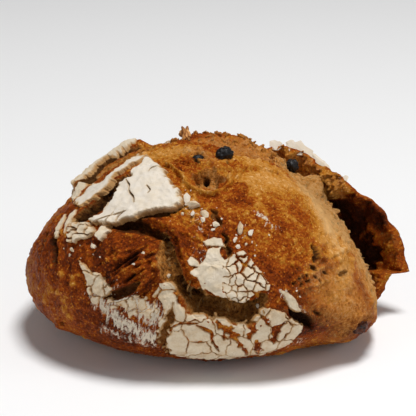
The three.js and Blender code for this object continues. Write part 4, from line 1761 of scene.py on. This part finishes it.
@dataclass(frozen=True)
class Raisin:
    """A raisin baked into the crust, in place of its solid."""

    node: str
    half: Triple
    turn: float
    baked: float = 0.0
    wrinkle: float = 0.5
    fold: Noise = Noise(0.7, 15, 3)

    def build(self, material: Material) -> None:
        """Make the raisin: a ball with its half-sizes, pinched along ridges where lumps change sign.

        Args:
            material: Its finish.
        """
        low, high = (np.array(corner) / METRES_PER_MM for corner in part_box(self.node))
        middle = (low + high) / 2
        ball, faces = globe(around=48, rings=30)
        key = ball + 5.0 * len(self.node) + middle / 7
        fold = np.abs(self.fold.at(key))
        shape = ball * (1.0 + self.wrinkle * (np.minimum(fold, 0.5) - 0.28))[:, None]
        axes = stand(unit(middle - HEART)[None], np.radians(self.turn))[0]
        points = middle + (shape * np.array(self.half)) @ axes
        paints = {"baked": np.full(len(points), self.baked)}
        dress(put_mesh(f"{self.node}_skin", points, faces, paints), material, "raisin", self.node)


@dataclass(frozen=True)
class WalnutPiece:
    """The broken piece of walnut kernel that stands up on the crown."""

    node: str = "walnut_piece"
    half: Triple = (5.4, 4.2, 6.2)
    ruggedness: float = 0.42
    lobe: Noise = Noise(0.75, 16, 2)
    pitting: Noise = Noise(0.25, 18, strength=0.08)
    horns: tuple[Triple, ...] = ((-0.7, 0.0, 0.8), (0.75, 0.2, 0.75), (-0.2, -0.9, 0.3))

    def build(self, material: Material) -> None:
        """Make the kernel: a ball with horns that fall off round their axes, and lobes where lumps fold.

        Args:
            material: Its finish.
        """
        low, high = (np.array(corner) / METRES_PER_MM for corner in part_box(self.node))
        middle = (low + high) / 2
        ball, faces = globe(around=64, rings=40)
        lobe = np.abs(self.lobe.at(ball + 3.0))
        turned = unit(np.array(self.horns)) @ ball.T
        horn = np.exp((np.minimum(turned, 1.0) - 1.0) / 0.05).max(axis=0)
        shape = 0.68 + 0.8 * horn + self.ruggedness * (lobe - 0.35) + self.pitting.at(ball)
        shape = ball * shape[:, None]
        axes = stand(unit(middle - HEART)[None], 0.0)[0]
        points = middle + (shape * np.array(self.half)) @ axes
        fold = {"fold": np.clip(1.0 - 2.2 * lobe, 0.0, 1.0)}
        dress(put_mesh("walnut_kernel", points, faces, fold), material, "walnut", self.node)


def linear(colour: str) -> tuple[float, float, float, float]:
    """Turn an sRGB hex colour into linear light, with an alpha of 1.

    Args:
        colour: As in #a0b1c2.

    Returns:
        Red, green, blue and alpha.
    """
    part = np.array([int(colour[k : k + 2], 16) for k in (1, 3, 5)]) / 255.0
    red, green, blue = np.where(part <= 0.04045, part / 12.92, ((part + 0.055) / 1.055) ** 2.4).tolist()
    return red, green, blue, 1.0


def wire(tree: bpy.types.NodeTree, node: bpy.types.Node, inputs: Sockets) -> None:
    """Set each named socket of a node to its value, or link it where that is another node's output."""
    for socket, value in inputs.items():
        if isinstance(value, bpy.types.NodeSocket):
            tree.links.new(value, node.inputs[socket])
        else:
            node.inputs[socket].default_value = value


def add_node(
    tree: bpy.types.NodeTree,
    kind: str,
    inputs: Sockets | None = None,
    stops: Stops = (),
    output: str | int = 0,
    **settings: object,
) -> bpy.types.NodeSocket:
    """Add a node with its settings and links.

    Args:
        tree: The material's nodes.
        kind: The node's type, without its prefix.
        inputs: For each socket, a value or the output to link to it.
        stops: A colour ramp's places and colours.
        output: Which output is wanted.
        settings: The node's own properties.

    Returns:
        That output.
    """
    node = tree.nodes.new(f"ShaderNode{kind}")
    for name, value in settings.items():
        setattr(node, name, value)
    for place, _ in stops[2:]:
        node.color_ramp.elements.new(place)
    for element, (place, colour) in zip(node.color_ramp.elements if stops else (), stops):
        element.position, element.color = place, linear(colour)
    wire(tree, node, inputs or {})
    return node.outputs[output]


def new_material(
    name: str,
) -> tuple[Material, bpy.types.NodeTree, bpy.types.Node, bpy.types.NodeSocket]:
    """Start a material.

    Args:
        name: The material's name.

    Returns:
        The material, its nodes, its shader and the place on the loaf in millimetres.
    """
    material = bpy.data.materials.new(name)
    material.use_nodes = True
    tree = material.node_tree
    place = add_node(tree, "TexCoord", output="Object")
    place = add_node(tree, "Mapping", {"Vector": place, "Scale": (1 / METRES_PER_MM,) * 3})
    return material, tree, tree.nodes["Principled BSDF"], place


@dataclass(frozen=True)
class BakedCrust:
    """Baked wheat and rye crust, torn in places down to its crumb.

    The dough's skin browns unevenly and dries to a faint gloss with fine blisters. Where it tore, the
    crumb is pale, dull and porous, and painted darker in the depths as painted shade.
    """

    bake: Stops = (
        (0.0, "#e3b67c"), (0.25, "#cf9249"), (0.45, "#b97822"),
        (0.62, "#994509"), (0.8, "#672704"), (1.0, "#2a1004"),
    )
    crumb: Stops = ((0.0, "#5a2c0e"), (0.22, "#ab6a30"), (0.45, "#eb9e4a"), (0.75, "#fbc27c"))
    # The colour of the painted shade in cracks, pores and hollows.
    shade_colour: str = "#2a1407"
    flour: str = "#e2d5bf"
    mottle_mm: float = 13.0
    grain_mm: float = 1.3
    blister_mm: float = 2.2
    pore_mm: float = 2.6
    wisp_mm: float = 3.6
    wisp_turn: float = 0.55
    wisp_draw: Triple = (2.4, 1.0, 1.0)
    powder_mm: float = 1.6
    brush_turn: float = 0.2
    brush_draw: Triple = (1.0, 1.0, 4.2)
    mottle_shade: float = 0.5
    grain_shade: float = 0.75
    wisp_shade: float = 0.4
    blister_shade: float = -0.3
    pore_shade: float = 0.22
    skin_shade: float = -0.77
    crumb_shade: float = -0.12
    gloss: float = 0.42
    dull: float = 0.92
    specular: float = 0.06
    skin_bump_mm: float = 1.8
    crumb_bump_mm: float = 1.5

    def build(self) -> Material:
        """Make the material from the crust's paints and noise of each size.

        Each shade is a paint plus weighted noise. Crumb shows through where its paint and the grain reach
        a level, then painted shade darkens both, and brushed flour lies on top where dust and streaks meet.

        Returns:
            The material.
        """
        material, tree, shader, place = new_material("baked_bread_crust")
        bake, crumb, dust, char = (
            add_node(tree, "Attribute", output="Fac", attribute_name=name)
            for name in ("bake", "crumb", "dust", "char")
        )
        drawn, brushed = (
            add_node(
                tree,
                "Mapping",
                {"Vector": place, "Rotation": (0.0, turn, 0.0), "Scale": draw},
                vector_type="TEXTURE",
            )
            for turn, draw in ((self.wisp_turn, self.wisp_draw), (self.brush_turn, self.brush_draw))
        )
        mottle, grain, wisp, streak = (
            add_node(
                tree,
                "TexNoise",
                {"Vector": at, "Scale": 1 / size, "Detail": detail, "Roughness": rough, "Distortion": bend},
            )
            for at, size, detail, rough, bend in (
                (place, self.mottle_mm, 5.0, 0.62, 0.0),
                (place, self.grain_mm, 5.0, 0.62, 0.0),
                (drawn, self.wisp_mm, 5.0, 0.65, 1.0),
                (brushed, self.powder_mm, 6.0, 0.7, 0.0),
            )
        )
        blister, pore = (
            add_node(tree, "TexVoronoi", {"Vector": place, "Scale": 1 / size})
            for size in (self.blister_mm, self.pore_mm)
        )
        speck, pock = (
            add_node(tree, "MapRange", {0: cell, 1: low, 2: high, 3: shade, 4: 0.0})
            for cell, low, high, shade in (
                (blister, 0.1, 0.3, self.blister_shade),
                (pore, 0.08, 0.22, self.pore_shade),
            )
        )
        skin_parts = (
            (mottle, self.mottle_shade), (grain, self.grain_shade), (wisp, self.wisp_shade),
            (speck, 1.0), (pock, 1.0), (1.0, self.skin_shade),
        )
        sums = []
        for total, parts in (
            (bake, skin_parts),
            (grain, ((pore, 0.4), (bake, -0.7), (mottle, 0.6), (1.0, self.crumb_shade))),
            (crumb, ((grain, 0.7),)),
            (dust, ((streak, 1.6),)),
            (grain, ((blister, -0.4), (wisp, 1.2))),
        ):
            for part, weight in parts:
                total = add_node(tree, "Math", {0: part, 1: weight, 2: total}, operation="MULTIPLY_ADD")
            sums.append(total)
        shade, porous, torn, powder, height = sums
        skin, bare = (
            add_node(tree, "ValToRGB", {"Fac": tone}, stops)
            for tone, stops in ((shade, self.bake), (porous, self.crumb))
        )
        torn, powder = (
            add_node(tree, "MapRange", {0: total, 1: low, 2: high, 3: 0.0, 4: most})
            for total, low, high, most in ((torn, 0.45, 1.15, 1.0), (powder, 1.28, 1.45, 0.95))
        )
        # How far the painted shade covers the colour, roughened by the grain.
        shade_share = grain
        for factor, operation, clamp in (
            (1.6, "MULTIPLY", False),
            (char, "MULTIPLY", True),
            (char, "MAXIMUM", False),
        ):
            shade_share = add_node(tree, "Math", {0: shade_share, 1: factor}, operation=operation, use_clamp=clamp)
        colour = skin
        for share, cover in ((torn, bare), (shade_share, linear(self.shade_colour)), (powder, linear(self.flour))):
            colour = add_node(tree, "Mix", {0: share, 6: colour, 7: cover}, output=2, data_type="RGBA")
        matt = add_node(tree, "Math", {0: torn, 1: powder}, operation="MAXIMUM")
        rough = add_node(tree, "MapRange", {0: matt, 1: 0.0, 2: 1.0, 3: self.gloss, 4: self.dull})
        relief = {"Strength": 0.7, "Distance": self.skin_bump_mm * METRES_PER_MM, "Height": height}
        bump = add_node(tree, "Bump", relief)
        relief = {"Strength": torn, "Distance": self.crumb_bump_mm * METRES_PER_MM, "Height": porous}
        bump = add_node(tree, "Bump", relief | {"Normal": bump})
        wire(tree, shader, {"Base Color": colour, "Roughness": rough, "Normal": bump})
        wire(tree, shader, {"Specular IOR Level": self.specular})
        return material


@dataclass(frozen=True)
class FlourPaste:
    """Flour and water dried on in the oven: a dull, slightly grainy off-white, browner where it is thin."""

    tones: Stops = ((0.0, "#dfd5c7"), (0.5, "#d5c4a9"), (1.0, "#b28856"))
    grain_mm: float = 0.9
    stain_mm: float = 6.0
    grain_shade: float = 0.3
    stain_shade: float = 0.8
    pale_shade: float = -0.45
    bump_mm: float = 0.6
    roughness: float = 0.95
    specular: float = 0.2

    def build(self) -> Material:
        """Make the material: tone from the distance to the plate's edge, stained and grained by noise.

        Returns:
            The material.
        """
        material, tree, shader, place = new_material("dried_flour_paste")
        tone = add_node(tree, "Attribute", output="Fac", attribute_name="tone")
        grain, stain = (
            add_node(tree, "TexNoise", {"Vector": place, "Scale": 1 / size, "Detail": 4.0, "Roughness": 0.6})
            for size in (self.grain_mm, self.stain_mm)
        )
        for part, weight in ((stain, self.stain_shade), (grain, self.grain_shade), (1.0, self.pale_shade)):
            tone = add_node(tree, "Math", {0: part, 1: weight, 2: tone}, operation="MULTIPLY_ADD")
        colour = add_node(tree, "ValToRGB", {"Fac": tone}, self.tones)
        relief = {"Strength": 0.6, "Distance": self.bump_mm * METRES_PER_MM, "Height": grain}
        bump = add_node(tree, "Bump", relief)
        wire(tree, shader, {"Base Color": colour, "Normal": bump})
        wire(tree, shader, {"Roughness": self.roughness, "Specular IOR Level": self.specular})
        return material


@dataclass(frozen=True)
class RaisinSkin:
    """Dried grape skin, baked nearly black, wrinkled and waxy, so that it glints."""

    tones: Stops = ((0.3, "#060405"), (0.6, "#0f0a0a"), (0.8, "#24130c"))
    crusted: str = "#5c2a0e"
    wrinkle_mm: float = 1.1
    bloom_mm: float = 3.0
    bump_mm: float = 0.8
    gloss: float = 0.3
    bloom_roughness: float = 0.55
    specular: float = 0.35

    def build(self) -> Material:
        """Make the material: near-black in patches with fine wrinkles, browner where dough baked over it.

        Returns:
            The material.
        """
        material, tree, shader, place = new_material("dried_grape_skin")
        bloom, wrinkle = (
            add_node(tree, "TexNoise", {"Vector": place, "Scale": 1 / size, "Detail": 4.0})
            for size in (self.bloom_mm, self.wrinkle_mm)
        )
        colour = add_node(tree, "ValToRGB", {"Fac": bloom}, self.tones)
        baked = add_node(tree, "Attribute", output="Fac", attribute_name="baked")
        baked = add_node(tree, "Math", {0: baked, 1: bloom}, operation="MULTIPLY")
        baked, rough = (
            add_node(tree, "MapRange", {0: part, 1: low, 2: high, 3: least, 4: most})
            for part, low, high, least, most in (
                (baked, 0.25, 0.45, 0.0, 1.0),
                (bloom, 0.3, 0.7, self.gloss, self.bloom_roughness),
            )
        )
        colour = add_node(
            tree, "Mix", {0: baked, 6: colour, 7: linear(self.crusted)}, output=2, data_type="RGBA"
        )
        relief = {"Strength": 0.7, "Distance": self.bump_mm * METRES_PER_MM, "Height": wrinkle}
        bump = add_node(tree, "Bump", relief)
        wire(tree, shader, {"Base Color": colour, "Roughness": rough, "Normal": bump})
        wire(tree, shader, {"Specular IOR Level": self.specular})
        return material


@dataclass(frozen=True)
class WalnutKernel:
    """Toasted walnut kernel: a papery brown skin over a golden nut, darkest in its folds."""

    tones: Stops = ((0.1, "#e8b976"), (0.45, "#c98c48"), (0.9, "#7d4519"))
    skin_mm: float = 2.0
    fold_shade: float = 0.6
    pale_shade: float = -0.2
    bump_mm: float = 0.5
    roughness: float = 0.6

    def build(self) -> Material:
        """Make the material: darker with the fold paint, and mottled by noise.

        Returns:
            The material.
        """
        material, tree, shader, place = new_material("toasted_walnut_kernel")
        fold = add_node(tree, "Attribute", output="Fac", attribute_name="fold")
        skin = add_node(tree, "TexNoise", {"Vector": place, "Scale": 1 / self.skin_mm, "Detail": 5.0})
        shade = skin
        for part, weight in ((fold, self.fold_shade), (1.0, self.pale_shade)):
            shade = add_node(tree, "Math", {0: part, 1: weight, 2: shade}, operation="MULTIPLY_ADD")
        colour = add_node(tree, "ValToRGB", {"Fac": shade}, self.tones)
        relief = {"Strength": 0.6, "Distance": self.bump_mm * METRES_PER_MM, "Height": skin}
        bump = add_node(tree, "Bump", relief)
        wire(tree, shader, {"Base Color": colour, "Normal": bump})
        wire(tree, shader, {"Roughness": self.roughness})
        return material


@dataclass(frozen=True)
class Studio:
    """A plain pale floor, soft light from above and in front, and the photograph's camera."""

    floor_size: float = 16000.0
    floor_colour: str = "#f3f3f3"
    paper_roughness: float = 0.9
    fibre_mm: float = 2.0
    fibre_bump_mm: float = 0.2
    sky: float = 0.14
    lit: Triple = (0.0, 0.0, 50.0)
    sensor_mm: float = 36.0
    lights: tuple[tuple[Triple, float, float], ...] = (
        ((350.0, -250.0, 2500.0), 800.0, 57.0),
        ((-700.0, -700.0, 500.0), 700.0, 1.1),
        ((450.0, -4000.0, 1500.0), 2000.0, 10.0),
        ((700.0, -300.0, 420.0), 400.0, 0.9),
    )

    def floor(self) -> None:
        """Lay the floor, a square of four cells."""
        line = np.linspace(-self.floor_size / 2, self.floor_size / 2, 3)
        x, y = np.meshgrid(line, line, indexing="ij")
        points = np.stack([x, y, np.zeros_like(x)], axis=2).reshape(-1, 3)
        cells = grid_cells(np.arange(x.size).reshape(x.shape))
        floor = put_mesh("studio_floor", points, [cells], {})
        material, tree, shader, place = new_material("matt_studio_paper")
        fibre = add_node(tree, "TexNoise", {"Vector": place, "Scale": 1 / self.fibre_mm})
        relief = {"Strength": 0.05, "Distance": self.fibre_bump_mm * METRES_PER_MM, "Height": fibre}
        bump = add_node(tree, "Bump", relief)
        wire(tree, shader, {"Base Color": linear(self.floor_colour), "Normal": bump})
        wire(tree, shader, {"Roughness": self.paper_roughness})
        floor.data.materials.append(material)

    def light(self) -> None:
        """Hang the soft boxes, each facing the loaf, and whiten the surroundings."""
        for number, (place, size, power) in enumerate(self.lights):
            lamp = bpy.data.lights.new(f"soft_box_{number}", "AREA")
            lamp.shape, lamp.size, lamp.energy = "DISK", size * METRES_PER_MM, power
            box = bpy.data.objects.new(lamp.name, lamp)
            spot = Vector(place) * METRES_PER_MM
            facing = Vector(self.lit) * METRES_PER_MM - spot
            box.matrix_world = Matrix.Translation(spot) @ facing.to_track_quat("-Z", "Y").to_matrix().to_4x4()
            bpy.context.scene.collection.objects.link(box)
        world = bpy.data.worlds.new("white_room")
        world.use_nodes = True
        sky = world.node_tree.nodes["Background"]
        wire(world.node_tree, sky, {"Color": linear("#ffffff"), "Strength": self.sky})
        bpy.context.scene.world = world
        bpy.context.scene.view_settings.view_transform = "Standard"

    def camera(self) -> None:
        """Set the camera at the photograph's viewing angle."""
        view = Side.FRONT.value
        across, upward, into = view.axes()
        lens = bpy.data.cameras.new("photograph")
        lens.sensor_width = self.sensor_mm
        lens.lens = lens.sensor_width * view.focal_px / FRAME_PX
        camera = bpy.data.objects.new("photograph", lens)
        turn = Matrix(np.column_stack([across, upward, -into]).tolist()).to_4x4()
        camera.matrix_world = Matrix.Translation(Vector(view.eye() * METRES_PER_MM)) @ turn
        bpy.context.scene.collection.objects.link(camera)
        bpy.context.scene.camera = camera

    def build(self) -> None:
        """Set up the floor, the light and the camera."""
        self.floor()
        self.light()
        self.camera()


def main() -> None:
    """Build the loaf's pieces in order, then the studio."""
    logging.basicConfig(level=logging.INFO, format="%(message)s")
    crust, flour = BakedCrust().build(), FlourPaste().build()
    raisin, walnut = RaisinSkin().build(), WalnutKernel().build()
    CrustBody().build(crust)
    TornLip().build(crust)
    CrumbShreds().build(crust)
    for sheet in (TOP_FLOUR, LEFT_FLOUR, STRIP_FLOUR, PATCH_FLOUR, FRONT_FLOUR, BACK_FLOUR):
        sheet.build(flour)
    FlourChips().build(flour)
    RidgeFlakes().build(flour)
    for fruit in (
        Raisin("raisin_crown", (5.2, 4.2, 4.6), 20),
        Raisin("raisin_shoulder", (5.4, 3.9, 4.2), -40),
        Raisin("raisin_hollow", (4.0, 3.0, 3.4), 10, 0.2),
        Raisin("raisin_heel", (5.0, 4.2, 4.4), 35, 0.75),
        Raisin("raisin_back_left", (5.0, 4.0, 4.2), 15),
        Raisin("raisin_back_right", (5.3, 4.3, 4.4), 60),
    ):
        fruit.build(raisin)
    WalnutPiece().build(walnut)
    Studio().build()


if __name__ == "__main__":
    main()
